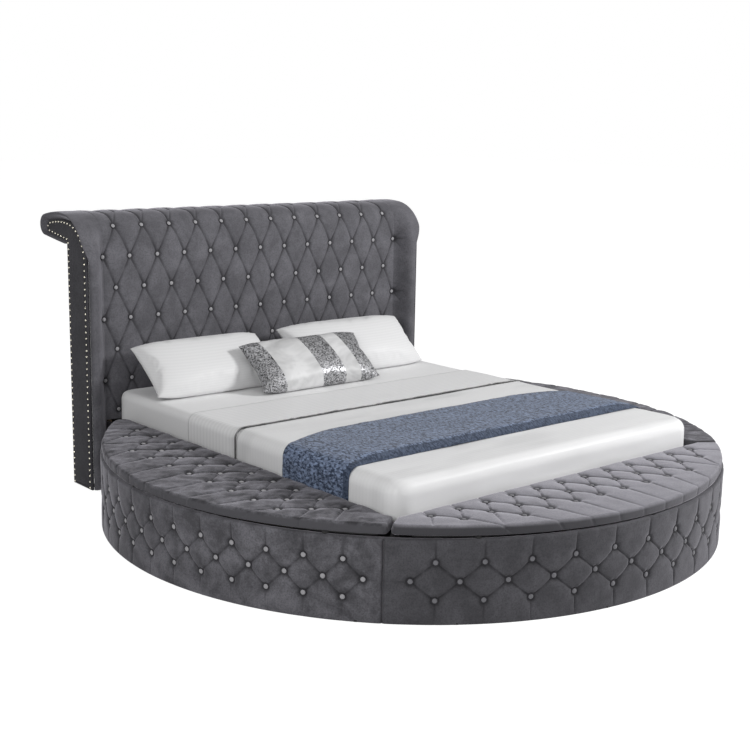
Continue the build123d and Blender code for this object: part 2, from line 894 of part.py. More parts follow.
# Top roll between the wings, its front turned over the tufted panel
with BuildPart() as headboard_roll:
    with BuildSketch(Plane.YZ.offset(-wing_inner)) as roll_section:
        with BuildLine():
            foot_line = scroll_lines(
                wing_front_y, scroll_start_z, wing_radii, wing_turns, headboard_back_y, panel_bottom, 0
            )
            Line(*foot_line)
        make_face()
        with Locations((panel_y + overrun / 2, panel_top + overrun / 2)):
            Rectangle(overrun, overrun, mode=Mode.INTERSECT)
        front_corner = roll_section.vertices().group_by(Axis.X)[0].sort_by(Axis.Y)[-1]
        fillet(front_corner, roll_front_radius)
    extrude(amount=2 * wing_inner)
    roll_centre_y = panel_y + roll_front_radius
    roll_centre_z = scroll_start_z + math.sqrt(
        (wing_rise_radius - roll_front_radius) ** 2 - (wing_front_y + wing_rise_radius - roll_centre_y) ** 2
    )
    roll_angle = math.radians(roll_row_turn)
    top_row_z = roll_centre_z + roll_front_radius * math.sin(roll_angle)
    headboard_column_pitch = 2 * (wing_inner - headboard_column_inset) / (headboard_columns - 1)
    roll_normal = Vector(0, -math.cos(roll_angle), math.sin(roll_angle))
    roll_seat = Vector(0, roll_centre_y, roll_centre_z) + roll_normal * (roll_front_radius - dimple_depth)
    roll_planes = []
    for i in range(headboard_columns):
        across = (i - (headboard_columns - 1) / 2) * headboard_column_pitch
        roll_planes.append(Plane(origin=roll_seat + Vector(across, 0, 0), x_dir=(1, 0, 0), z_dir=roll_normal))
    cut_dimples(roll_planes)
save(headboard_roll.part, "headboard_roll")

# Tufted panel below the roll: rows with a column more lie between the others
panel_planes = []
corner_x = wing_inner - headboard_corner_inset
first_row_z = panel_bottom + headboard_first_row_lift
row_pitch = (top_row_z - first_row_z) / (headboard_rows - 1)
for row in range(headboard_rows - 1):
    columns = headboard_columns + row % 2
    for i in range(columns):
        across = (i - (columns - 1) / 2) * headboard_column_pitch
        across = max(-corner_x, min(corner_x, across))
        height = first_row_z + row * row_pitch
        seat = (across, panel_y + dimple_depth, height)
        panel_planes.append(Plane(origin=seat, x_dir=(1, 0, 0), z_dir=(0, -1, 0)))

with BuildPart() as headboard_pad:
    add(board(-wing_inner, wing_inner, panel_y, frame_y, panel_bottom, panel_top))
    lower_edge = headboard_pad.edges().filter_by(Axis.X).group_by(Axis.Y)[0].sort_by(Axis.Z)[0]
    fillet(lower_edge, pad_edge_radius)
    cut_dimples(panel_planes)
save(headboard_pad.part, "headboard_pad")
save(buttons_at(panel_planes + roll_planes), "headboard_buttons")

# Frame and back of the headboard
back_panel = board(-wing_inner, wing_inner, frame_back_y, headboard_back_y, glide_height, panel_top)
save(back_panel, "headboard_back_panel")
post_inner = wing_inner - frame_post_width
left_post = board(-wing_inner, -post_inner, frame_y, frame_back_y, glide_height, panel_top)
with BuildPart() as headboard_posts:
    add(left_post)
    add(mirrored(left_post))
save(headboard_posts.part, "headboard_posts")
with BuildPart() as headboard_rails:
    for rail_z in frame_rail_zs:
        with Locations((0, (frame_y + frame_back_y) / 2, rail_z)):
            Box(2 * post_inner, frame_back_y - frame_y, frame_rail_height)
save(headboard_rails.part, "headboard_rails")

# Angle brackets from the straight walls to the posts
bracket_top = bracket_z + bracket_height
with BuildPart() as left_bracket:
    add(
        board(
            -inner_half,
            -inner_half + bracket_thickness,
            frame_y - bracket_reach,
            frame_y,
            bracket_z,
            bracket_top,
        )
    )
    add(
        board(
            -inner_half,
            -inner_half + bracket_reach,
            frame_y - bracket_thickness,
            frame_y,
            bracket_z,
            bracket_top,
        )
    )
with BuildPart() as headboard_brackets:
    add(left_bracket.part)
    add(mirrored(left_bracket.part))
save(headboard_brackets.part, "headboard_brackets")

# Nailheads round the edge of each side panel
nail_sphere_radius = (nail_radius**2 + nail_rise**2) / (2 * nail_rise)
nail_turn = math.degrees(math.asin(nail_radius / nail_sphere_radius))
with BuildPart() as nail:
    with BuildSketch(Plane.XZ):
        with BuildLine():
            middle = Line((0, 0), (0, nail_rise))
            dome = JernArc(middle @ 1, (1, 0), nail_sphere_radius, -nail_turn)
            Line(dome @ 1, middle @ 0)
        make_face()
    revolve(axis=Axis.Z)
with BuildLine() as nail_path:
    scroll_lines(
        side_front_y, scroll_start_z, side_radii, side_turns, headboard_back_y, glide_height + nail_inset, nail_inset
    )
nail_wire = nail_path.wires()[0]
nail_count = int(nail_wire.length / nail_pitch)
nail_planes = []
for i in range(nail_count + 1):
    point = nail_wire @ (i / nail_count)
    spot = (-headboard_half_width, point.X, point.Y)
    nail_planes.append(Plane(origin=spot, x_dir=(0, 0, 1), z_dir=(-1, 0, 0)))
left_nails = group_at(nail.part, nail_planes)
with BuildPart() as nailheads:
    add(left_nails)
    add(mirrored(left_nails))
save(nailheads.part, "nailheads")

# Floor glides under the boxes, the posts and the wings
glide_spots = []
for angle in side_glide_angles:
    turn = math.radians(angle)
    glide_spots.append((-wall_radius * math.cos(turn), wall_radius * math.sin(turn), 0))
for glide_y in wall_glide_ys:
    glide_spots.append((-(inner_half + box_half) / 2, glide_y, 0))
for angle in foot_glide_angles:
    turn = math.radians(angle)
    glide_spots.append((-wall_radius * math.sin(turn), -wall_radius * math.cos(turn), 0))
glide_spots.append((-inner_half / 2, (foot_y + box_foot_y) / 2, 0))
glide_spots.append((-(wing_inner + post_inner) / 2, (frame_y + frame_back_y) / 2, 0))
glide_spots.append((-(wing_inner + wing_outer) / 2, (wing_front_y + headboard_back_y) / 2, 0))
with BuildPart() as left_glides:
    with Locations(*glide_spots):
        Cylinder(glide_radius, glide_height, align=(Align.CENTER, Align.CENTER, Align.MIN))
with BuildPart() as floor_glides:
    add(left_glides.part)
    add(mirrored(left_glides.part))
save(floor_glides.part, "floor_glides")


# Mattress and bedding
def rounded_block(grow, bottom):
    """The mattress shape, grown evenly on its sides and top."""
    with BuildPart() as block:
        with BuildSketch(Plane.XY.offset(bottom)):
            with Locations((0, mattress_centre_y)):
                RectangleRounded(
                    mattress_width + 2 * grow,
                    mattress_length + 2 * grow,
                    mattress_corner_radius + grow,
                )
        extrude(amount=mattress_top + grow - bottom)
        fillet(block.edges().group_by(Axis.Z)[-1], mattress_edge_radius + grow)
    return block.part


with BuildPart() as mattress:
    add(rounded_block(0, mattress_bottom))
    fillet(mattress.edges().group_by(Axis.Z)[0], mattress_edge_radius)
save(mattress.part, "mattress")


def cover_cloth(under, thickness, y_from, y_to, bottom):
    """Cloth of even thickness that hangs over the mattress, between two limits along it."""
    with BuildPart() as cloth:
        add(rounded_block(under + thickness, bottom))
        add(rounded_block(under, bottom), mode=Mode.SUBTRACT)
        add(board(-overrun, overrun, y_from, y_to, bottom, overrun), mode=Mode.INTERSECT)
    return cloth.part


throw_under = bedding_gap + duvet_thickness + bedding_gap
throw_half = throw_width / 2
duvet = cover_cloth(bedding_gap, duvet_thickness, -overrun, duvet_head_y, bedding_bottom)
save(duvet, "duvet")
coverlet = cover_cloth(
    bedding_gap, coverlet_thickness, duvet_head_y + bedding_gap, coverlet_head_y, bedding_bottom
)
save(coverlet, "coverlet")
throw = cover_cloth(
    throw_under, throw_thickness, throw_centre_y - throw_half, throw_centre_y + throw_half, throw_bottom
)
save(throw, "throw")


def drawn_outline(length, width, draw):
    """Four corners joined by sides that pull in between them."""
    corners = [
        (-length / 2, -width / 2),
        (length / 2, -width / 2),
        (length / 2, width / 2),
        (-length / 2, width / 2),
    ]
    middles = [
        (0, -width / 2 + draw * width),
        (length / 2 - draw * width, 0),
        (0, width / 2 - draw * width),
        (-length / 2 + draw * width, 0),
    ]
    with BuildLine() as outline:
        for i in range(len(corners)):
            ThreePointArc(corners[i], middles[i], corners[(i + 1) % len(corners)])
    return outline.line


def crowned_cushion(length, width, thickness, place):
    """Pillow form: thin seam all round, drawn-in sides and a crown on both faces."""
    half = thickness / 2
    sections = []
    for height_share, size_share in crown_shares:
        sections.append((height_share, size_share))
        if height_share:
            sections.append((-height_share, size_share))
    with BuildPart() as cushion:
        for height_share, size_share in sorted(sections):
            inset = (1 - size_share) * width
            with BuildSketch(place.offset(height_share * half)):
                with BuildLine():
                    add(drawn_outline(length - inset, width - inset, side_draw_share * size_share))
                make_face()
        loft(ruled=True)
    return cushion.part


def tilted(x, y, angle):
    """Plane of a pillow that leans back towards the headboard."""
    lean = math.radians(angle)
    return Plane(origin=(x, y, mattress_top), x_dir=(1, 0, 0), z_dir=(0, -math.sin(lean), math.cos(lean)))


def seated(piece):
    """The piece let down until it lies on the mattress."""
    rise = mattress_top + bedding_gap - piece.bounding_box().min.Z
    return piece.moved(Location((0, 0, rise)))


pillow_place = tilted(-pillow_x, pillow_y, pillow_tilt)
left_pillow = seated(crowned_cushion(pillow_length, pillow_width, pillow_thickness, pillow_place))
right_pillow = mirrored(left_pillow)
save(left_pillow, "left_pillow")
save(right_pillow, "right_pillow")

# The accent cushion starts in front of the pillows and slides back until it leans on them
cushion_start_y = pillow_y - (pillow_width + cushion_width + cushion_thickness) / 2
cushion_place = tilted(cushion_x, cushion_start_y, cushion_tilt)
accent_cushion = seated(crowned_cushion(cushion_length, cushion_width, cushion_thickness, cushion_place))
for _ in range(cushion_slides):
    free_way = min(accent_cushion.distance_to(left_pillow), accent_cushion.distance_to(right_pillow))
    accent_cushion = accent_cushion.moved(Location((0, free_way - bedding_gap, 0)))
save(accent_cushion, "accent_cushion")
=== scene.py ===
"""Looks of the round upholstered storage bed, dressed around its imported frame.

Metres. +Z is up, the foot is towards -Y and the head towards +Y.
The origin is on the floor, at the centre of the round base.
"""
import math

import bpy
import numpy as np
from mathutils import Matrix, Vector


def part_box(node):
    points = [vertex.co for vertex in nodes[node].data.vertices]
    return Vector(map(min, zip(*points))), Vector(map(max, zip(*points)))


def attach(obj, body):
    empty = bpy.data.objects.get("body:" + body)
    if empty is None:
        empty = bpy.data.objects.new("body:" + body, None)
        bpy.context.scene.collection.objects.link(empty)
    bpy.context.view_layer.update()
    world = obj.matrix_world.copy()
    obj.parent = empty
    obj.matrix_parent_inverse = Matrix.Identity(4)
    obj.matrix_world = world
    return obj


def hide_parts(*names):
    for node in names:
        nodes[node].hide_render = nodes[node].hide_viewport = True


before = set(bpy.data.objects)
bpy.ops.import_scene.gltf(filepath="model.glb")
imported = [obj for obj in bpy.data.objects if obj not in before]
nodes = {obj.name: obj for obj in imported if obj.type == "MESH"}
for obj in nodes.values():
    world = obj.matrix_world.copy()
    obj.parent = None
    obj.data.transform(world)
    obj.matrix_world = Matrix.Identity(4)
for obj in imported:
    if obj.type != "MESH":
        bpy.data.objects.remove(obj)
scene = bpy.context.scene
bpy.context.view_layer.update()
quarter = math.pi / 2

# Sizes read from the frame
base_radius = -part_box("foot_cover")[0].y
cover_bottom = 0.0005
cover_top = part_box("foot_cover")[1].z
box_half = -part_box("left_cover")[1].x
lid_radius = -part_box("foot_lid_pad")[0].y
lid_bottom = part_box("left_lid_board")[0].z
lid_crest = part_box("left_lid_pad")[1].z
side_lid_x = -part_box("left_lid_pad")[1].x
foot_lid_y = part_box("foot_lid_pad")[1].y
panel_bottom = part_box("headboard_pad")[0].z
panel_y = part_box("headboard_pad")[0].y
panel_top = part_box("headboard_pad")[1].z
wing_outer = -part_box("left_wing")[0].x
wing_inner = -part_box("left_wing")[1].x
wing_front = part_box("left_wing")[0].y
board_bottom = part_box("left_side_panel")[0].z
board_outer = -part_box("left_side_panel")[0].x
side_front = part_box("left_side_panel")[0].y
headboard_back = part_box("headboard_back_panel")[1].y
mattress_low, mattress_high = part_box("mattress")
throw_low, throw_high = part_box("throw")
duvet_low, duvet_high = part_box("duvet")
coverlet_low, coverlet_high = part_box("coverlet")

# Padding
cover_thickness = 0.022
cover_rim = 0.009
lid_rim = 0.013
lid_crown = 0.007
lid_tip_radius = 0.045
lid_end_way = np.array((-0.826, -0.564))
lid_end_gap = 0.009
lid_end_radius = 0.024
fine_step = 0.0042
wide_step = 0.005
bedding_step = 0.012
arc_count = 900
side_lid_width, foot_lid_width = 0.45, 0.42
mattress_corner = 0.070
mattress_edge = 0.040
base_fill, lid_fill, head_fill, cushion_fill, mattress_fill = 0.7, 0.7, 0.75, 0.7, 0.95

# Tufting: spacing of the buttons along a row, and from row to row
left_pitch, foot_cover_pitch, foot_lid_pitch, lid_row_pitch = 0.156, 0.188, 0.149, 0.104
head_pitch, head_row_pitch = 0.160, 0.155
spot_reach = 0.035
same_row = 0.01
next_column = 0.75
button_radius = 0.0138
dimple_depth = 0.0125
dimple_spread = 0.011
fold_power = 2.2
fold_norm = 5
crease_reach = 0.0068
crease_depth = 0.0074
fold_sag_share = 0.35

# Rolled top of the headboard: radii and turns of its arcs
wing_start = 1.146
rise_radius, rise_turn = 0.228, math.radians(84)
top_radius, top_turn = 0.600, math.radians(20)
tip_radius, tip_turn = 0.055, math.radians(158)
side_radii = (0.190, 0.560, 0.032)
side_turns = (math.radians(82), math.radians(21), math.radians(158))
roll_radius = 0.120
wing_lobe = 0.042


def walk(start, heading, moves):
    """Polyline from a start along moves of (length, clockwise turn), and its last heading."""
    point = np.array(start, float)
    line = [point]
    for length, turn in moves:
        steps = max(1, math.ceil(abs(turn) / 0.05))
        half = turn / steps / 2
        chord = length / steps * (math.sin(half) / half if half else 1)
        for _ in range(steps):
            heading -= half
            point = point + chord * np.array((math.cos(heading), math.sin(heading)))
            heading -= half
            line.append(point)
    return np.array(line), heading


def run_along(line):
    """Distance along a line from its start to each of its points."""
    return np.concatenate(([0], np.cumsum(np.linalg.norm(np.diff(line, axis=0), axis=1))))


def resample(line, count):
    """The same line with evenly spaced points."""
    run = run_along(line)
    wanted = np.linspace(0, run[-1], count)
    return np.column_stack([np.interp(wanted, run, line[:, k]) for k in range(line.shape[1])])


def round_points(angles):
    return np.column_stack([np.cos(angles), np.sin(angles)])


def length_of(line):
    return float(np.linalg.norm(np.diff(line, axis=0), axis=1).sum())


def left_normals(line):
    """Unit normals on the left of a line in a plane."""
    way = np.gradient(line, axis=0)
    normal = np.column_stack([-way[:, 1], way[:, 0]])
    return normal / np.linalg.norm(normal, axis=1)[:, None]


def unroll(across, up):
    """Every pair of a place across and a place up, row by row."""
    return np.column_stack([np.tile(across, len(up)), np.repeat(up, len(across))])


def pushed(profile, normal, out):
    """Both coordinates of a profile's points, each moved out along its normal."""
    return (profile[:, k : k + 1] + out * normal[:, k : k + 1] for k in (0, 1))


def smooth_step(value):
    value = np.clip(value, 0, 1)
    return value * value * (3 - 2 * value)


def ripple(points, size, seed):
    """Smooth random field between -1 and 1 over points in a plane, with features of this size."""
    lattice = np.random.default_rng(seed).uniform(-1, 1, (64, 64))
    scaled = points / size
    cell = np.floor(scaled).astype(int)
    part = smooth_step(scaled - cell)
    column, row = cell[..., 0] % 64, cell[..., 1] % 64
    next_column, next_row = (column + 1) % 64, (row + 1) % 64
    low = lattice[column, row] * (1 - part[..., 0]) + lattice[next_column, row] * part[..., 0]
    high = lattice[column, next_row] * (1 - part[..., 0]) + lattice[next_column, next_row] * part[..., 0]
    return low * (1 - part[..., 1]) + high * part[..., 1]


def grid_faces(rows, columns, flip=False):
    """Quads of a grid whose vertices run row by row."""
    index = np.arange(rows * columns).reshape(rows, columns)
    quads = np.stack([index[:-1, :-1], index[:-1, 1:], index[1:, 1:], index[1:, :-1]], axis=-1)
    quads = quads.reshape(-1, 4)
    return (quads[:, ::-1] if flip else quads).tolist()


def points_of(mesh):
    points = np.zeros(len(mesh.vertices) * 3, np.float32)
    mesh.vertices.foreach_get("co", points)
    return points.reshape(-1, 3)


def set_points(mesh, points):
    mesh.vertices.foreach_set("co", points.astype(np.float32).ravel())
    mesh.update()


def add_object(name, data):
    added = bpy.data.objects.new(name, data)
    scene.collection.objects.link(added)
    return added


def place_mesh(name, mesh, body):
    """New object that rides on a body."""
    piece = add_object(name, mesh)
    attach(piece, body)
    return piece


def make_piece(name, points, faces, materials, fold=None, body="root"):
    """New smooth mesh that rides on a body, with how far each point lies in a fold."""
    mesh = bpy.data.meshes.new(name)
    mesh.from_pydata(np.asarray(points, float).reshape(-1, 3).tolist(), [], faces)
    mesh.shade_smooth()
    if fold is not None:
        layer = mesh.attributes.new("fold", "FLOAT", "POINT")
        layer.data.foreach_set("value", np.asarray(fold, np.float32).ravel())
    for material in materials:
        mesh.materials.append(material)
    return place_mesh(name, mesh, body)


def mirrored_piece(piece, name, body="root"):
    """The same piece on the other side of the bed."""
    mesh = piece.data.copy()
    mesh.name = name
    set_points(mesh, points_of(mesh) * (-1, 1, 1))
    mesh.flip_normals()
    return place_mesh(name, mesh, body)


def stand_in(piece, slot, *solids, fill=None):
    """A piece stands for these CAD solids, which are hidden; the slot and fill are not used."""
    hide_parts(*solids)


def spots(node, reach=spot_reach):
    """Middles of the separate small solids in a CAD node."""
    points = points_of(nodes[node].data).astype(float)
    middles = []
    while len(points):
        near = np.linalg.norm(points - points[0], axis=1) < reach
        group = points[near]
        middles.append((group.min(0) + group.max(0)) / 2)
        points = points[~near]
    return np.array(middles)


def neighbour_folds(seats, column_pitch, row_pitch, depth, reach):
    """Folds between each button and the nearest ones in the next row."""
    folds = []
    for first in seats:
        for second in seats:
            across, up = abs(second[0] - first[0]), second[1] - first[1]
            if across < next_column * column_pitch and 0.5 * row_pitch < up < 1.4 * row_pitch:
                folds.append((first, second, depth, depth, reach, True))
    return folds


def quilt(points, seats, folds):
    """How deep the padding lies below its fullest height over its unrolled plan.

    A fold is its two ends, its depth at each, its reach, and whether it sags between two buttons.
    """
    total = np.zeros(len(points))
    for start, end, start_depth, end_depth, reach, sagging in folds:
        start, end = np.array(start), np.array(end)
        middle, half = (start + end) / 2, np.abs(end - start) / 2 + reach
        close = np.flatnonzero((np.abs(points - middle) < half).all(1))
        way = end - start
        offset = points[close] - start
        along = np.clip(offset @ way / (way @ way), 0, 1)
        gap = np.linalg.norm(offset - np.outer(along, way), axis=1)
        depth = start_depth + (end_depth - start_depth) * along
        if sagging:
            depth = depth * (1 - fold_sag_share * np.sin(math.pi * along))
        depth = depth * np.clip(1 - gap / reach, 0, 1) ** fold_power
        fade = 0.35 + 0.65 * np.abs(np.cos(math.pi * along)) if sagging else 1 - 0.75 * along
        depth += crease_depth * fade * np.clip(1 - gap / crease_reach, 0, 1)
        total[close] += depth**fold_norm
    for seat in seats:
        offset = points - seat
        close = np.flatnonzero((np.abs(offset) < 0.08).all(1))
        gap = np.linalg.norm(offset[close], axis=1)
        depth = dimple_depth * np.exp(-np.clip(gap - button_radius, 0, None) / dimple_spread)
        total[close] += depth**fold_norm
    return np.minimum(total ** (1 / fold_norm), dimple_depth)


class Look:
    """A material with its steady values on the shader's own sockets, and short ways to wire more nodes."""

    def __init__(self, name, colour, roughness, sockets=None):
        self.material = bpy.data.materials.new(name)
        self.material.use_nodes = True
        self.tree = self.material.node_tree
        self.shader = self.tree.nodes["Principled BSDF"]
        for socket, value in {"Base Color": (*colour, 1), "Roughness": roughness, **(sockets or {})}.items():
            self.shader.inputs[socket].default_value = value

    def node(self, kind, values=None, **settings):
        """New node with its input values and settings."""
        node = self.tree.nodes.new(kind)
        for key, value in settings.items():
            setattr(node, key, value)
        for key, value in (values or {}).items():
            self.feed(node.inputs[key], value)
        return node

    def feed(self, socket, value):
        """Link another node's output to an input, or set its value."""
        if isinstance(value, bpy.types.NodeSocket):
            self.tree.links.new(value, socket)
        else:
            socket.default_value = value

    def lead(self, socket, value):
        self.feed(self.shader.inputs[socket], value)

    def place(self, stretch=(1, 1, 1), turn=(0, 0, 0)):
        """The point's own place, stretched and turned."""
        own = self.node("ShaderNodeTexCoord").outputs["Object"]
        return self.node("ShaderNodeMapping", {"Scale": stretch, "Rotation": turn, "Vector": own}).outputs[0]

    def noise(self, place, scale, detail=4, roughness=0.55, distortion=0):
        values = {"Vector": place, "Scale": scale, "Detail": detail, "Roughness": roughness}
        return self.node("ShaderNodeTexNoise", {**values, "Distortion": distortion}).outputs["Fac"]

    def remap(self, source, low, high, to_low=0.0, to_high=1.0):
        """A value's range stretched to another."""
        values = {"Value": source, "From Min": low, "From Max": high, "To Min": to_low, "To Max": to_high}
        return self.node("ShaderNodeMapRange", values).outputs["Result"]

    def reckon(self, operation, *terms):
        """Result of a calculation on sockets and numbers."""
        return self.node("ShaderNodeMath", dict(enumerate(terms)), operation=operation).outputs["Value"]

    def blend(self, factor, first, second):
        """Colour between two, which are sockets or colours."""
        node = self.node("ShaderNodeMix", {"Factor": factor}, data_type="RGBA")
        for socket, value in ((node.inputs[6], first), (node.inputs[7], second)):
            self.feed(socket, value if isinstance(value, bpy.types.NodeSocket) else (*value, 1))
        return node.outputs[2]

    def fold(self):
        """How far the point lies in a fold."""
        return self.node("ShaderNodeAttribute", attribute_name="fold").outputs["Fac"]

    def bump(self, height, strength, distance):
        values = {"Strength": strength, "Distance": distance, "Height": height}
        self.lead("Normal", self.node("ShaderNodeBump", values).outputs["Normal"])


def shade(colour, share):
    return tuple(channel * share for channel in colour)


def velvet(name, colour, mottle_low, mottle_high, sheen, upright_shade_share=1.0, patch_scale=8.0):
    """Crushed velvet: soft patches of lighter pile, a fine nap, painted shade in its folds and painted shade
    on upright faces.
    """
    sockets = {"Sheen Weight": sheen, "Sheen Roughness": 0.38, "Sheen Tint": (0.86, 0.84, 0.92, 1)}
    look = Look(name, colour, 0.78, {**sockets, "Specular IOR Level": 0.18})
    place = look.place()
    dark, light = shade(colour, mottle_low), shade(colour, mottle_high)
    patches = look.noise(place, patch_scale, 6, 0.66, 0.35)
    pile = look.blend(look.remap(patches, 0.40, 0.66), dark, light)
    streaks = look.noise(look.place((1, 1, 2.6), (0.3, 0.5, 0)), 30, 5, 0.6, 0.3)
    pile = look.blend(look.remap(streaks, 0.56, 0.8, 0, 0.45), pile, light)
    nap = look.noise(place, 150, 3, 0.7)
    pile = look.blend(look.remap(nap, 0.46, 0.62, 0, 0.42), pile, shade(dark, 0.55))
    # Painted shade: faces turned away from the top darken towards this share of the colour.
    if upright_shade_share < 1:
        facing = look.node("ShaderNodeNewGeometry").outputs["Normal"]
        steepness = look.node("ShaderNodeSeparateXYZ", {"Vector": facing}).outputs["Z"]
        pile = look.blend(look.remap(steepness, 0.95, 0.05), pile, shade(colour, upright_shade_share))
    # Painted shade: the colour darkens with the fold attribute, in the creases and round the buttons.
    depth = look.remap(look.fold(), 0.22, 0.95, 0, 0.85)
    pile = look.blend(depth, pile, shade(colour, 0.25 * min(1, 2 * upright_shade_share)))
    look.lead("Base Color", pile)
    look.bump(nap, 0.6, 0.0015)
    return look.material


def plain_cloth(name, colour, scale, roughness, sheen=0.2):
    """Woven cloth with a fine grain."""
    look = Look(name, colour, roughness, {"Sheen Weight": sheen, "Specular IOR Level": 0.2})
    grain = look.noise(look.place(), scale, 3)
    look.lead("Base Color", look.blend(look.remap(grain, 0.35, 0.65), shade(colour, 0.94), colour))
    look.bump(grain, 0.2, 0.0006)
    return look.material


def striped_cotton(name, colour, pitch, turn, contrast):
    """White sateen with narrow woven stripes, with a painted shadow along a marked edge band and painted shade
    in its dips.
    """
    look = Look(name, colour, 0.62, {"Sheen Weight": 0.12, "Specular IOR Level": 0.25})
    values = {"Scale": 2 * math.pi / (20 * pitch), "Distortion": 0, "Vector": look.place(turn=turn)}
    bands = look.node("ShaderNodeTexWave", values, wave_type="BANDS", bands_direction="X")
    stripe = look.remap(bands.outputs["Fac"], 0.3, 0.7)
    tone = look.blend(stripe, shade(colour, contrast), colour)
    # Painted shadow and shade: the colour darkens with the fold attribute, along the coverlet's edge band and
    # in the duvet's dips.
    look.lead("Base Color", look.blend(look.fold(), tone, shade(colour, 0.28)))
    look.lead("Roughness", look.remap(stripe, 0, 1, 0.7, 0.45))
    look.bump(look.noise(look.place(), 900, 2), 0.12, 0.0004)
    return look.material


def woven_throw(name, dark, light):
    """Slate blue weave with pale flecks along the yarns, and painted shade on its rolled edge."""
    look = Look(name, dark, 0.85, {"Sheen Weight": 0.15, "Sheen Roughness": 0.5})
    weft = look.noise(look.place((1, 0.5, 0.8)), 100, 3, 0.6)
    warp = look.noise(look.place((2.2, 0.6, 1)), 80, 3, 0.6)
    tone = look.blend(look.remap(weft, 0.45, 0.55), dark, light)
    tone = look.blend(look.remap(warp, 0.53, 0.60, 0, 0.7), tone, shade(light, 2.0))
    # Painted shade: the rolled edge band, marked in the fold attribute, is darkened.
    look.lead("Base Color", look.blend(look.remap(look.fold(), 0.2, 0.8, 0, 0.72), tone, shade(dark, 0.8)))
    look.bump(weft, 0.6, 0.002)
    return look.material


def wood(name, colour, stretch):
    """Planed wood with a drawn-out grain."""
    look = Look(name, colour, 0.6)
    grain = look.noise(look.place(stretch), 18, 6, 0.6, 0.8)
    look.lead("Base Color", look.blend(look.remap(grain, 0.3, 0.7), shade(colour, 0.72), colour))
    look.bump(grain, 0.1, 0.0005)
    return look.material


def metal(name, colour, roughness):
    look = Look(name, colour, roughness, {"Metallic": 1.0})
    wear = look.noise(look.place(), 160, 3)
    look.lead("Roughness", look.remap(wear, 0.3, 0.7, roughness * 0.75, roughness * 1.25))
    return look.material


velvet_grey = (0.120, 0.118, 0.131)
# Copies of one velvet for each part: their different brightness is partly painted light and shade, set to how
# light falls on each part.
velvets = {
    "head": velvet("velvet_headboard", velvet_grey, 0.84, 1.28, 0.50),
    "foot": velvet("velvet_foot", shade(velvet_grey, 0.58), 0.85, 1.35, 0.50),
    "side": velvet("velvet_side", shade(velvet_grey, 0.72), 0.75, 1.85, 0.50),
    "side_lid": velvet("velvet_side_lid", shade(velvet_grey, 0.60), 0.45, 2.70, 0.45, 0.95, 12.0),
    # Painted sheen: the foot lid's top is made much lighter, and its upright rim gets painted shade.
    "foot_lid": velvet("velvet_foot_lid", shade(velvet_grey, 1.75), 0.85, 1.20, 0.80, 0.25),
    "board": velvet("velvet_board", shade(velvet_grey, 0.45), 0.9, 1.2, 0.18),
}
white = (0.80, 0.80, 0.805)
silver_cloth = plain_cloth("silver_satin", (0.34, 0.335, 0.35), 700, 0.38)
grey_cloth = plain_cloth("grey_satin", (0.16, 0.158, 0.172), 700, 0.5)
ring_cloth = plain_cloth("button_rim_velvet", (0.032, 0.031, 0.036), 500, 0.8, 0.1)
nail_metal = metal("nickel", (0.78, 0.74, 0.62), 0.22)
sheet_cotton = plain_cloth("sheet_cotton", white, 900, 0.7)
duvet_cotton = striped_cotton("duvet_cotton", white, 0.02, (0, 0, quarter), 0.985)
coverlet_cotton = striped_cotton("coverlet_sateen", white, 0.026, (0, 0, quarter), 0.95)
pillow_cotton = striped_cotton("pillow_sateen", shade(white, 0.93), 0.012, (quarter, 0, quarter), 0.975)
throw_wool = woven_throw("throw_weave", (0.017, 0.030, 0.062), (0.135, 0.175, 0.265))


def dome_group(name, places, normals, profile, materials, sides=20, split=5, material_sets=None):
    """Round studs, turned from one profile of (radius, height), each on its seat.

    Each has two materials: one below the split, counted in rings, and one above.
    """
    turns = np.linspace(0, 2 * math.pi, sides, endpoint=False)
    ring = [(math.cos(turn), math.sin(turn)) for turn in turns]
    unit = np.array([(radius * x, radius * y, height) for radius, height in profile for x, y in ring])
    rows = len(profile)
    points, faces, looks = [], [], []
    for number, (place, normal) in enumerate(zip(places, normals)):
        side = np.cross((0, 0, 1), normal) if abs(normal[2]) < 0.9 else np.array((1.0, 0, 0))
        side = side / np.linalg.norm(side)
        up = np.cross(normal, side)
        first = number * len(unit)
        points.append(place + unit @ np.array([side, up, normal]))
        pair = material_sets[number] if material_sets else 0
        for row in range(rows - 1):
            for k in range(sides):
                a, b = first + row * sides + k, first + row * sides + (k + 1) % sides
                faces.append((a, b, b + sides, a + sides))
                looks.append(2 * pair + (row >= split))
        faces.append(tuple(first + (rows - 1) * sides + k for k in range(sides)))
        looks.append(2 * pair + 1)
    piece = make_piece(name, np.concatenate(points), faces, materials)
    piece.data.polygons.foreach_set("material_index", looks)
    return piece


button_profile = (
    (0.0138, -0.003),
    (0.0142, 0.0015),
    (0.0138, 0.0034),
    (0.0124, 0.0046),
    (0.0106, 0.0040),
    (0.0098, 0.0036),
    (0.0091, 0.0048),
    (0.0072, 0.0060),
    (0.0044, 0.0067),
    (0.0016, 0.0069),
)


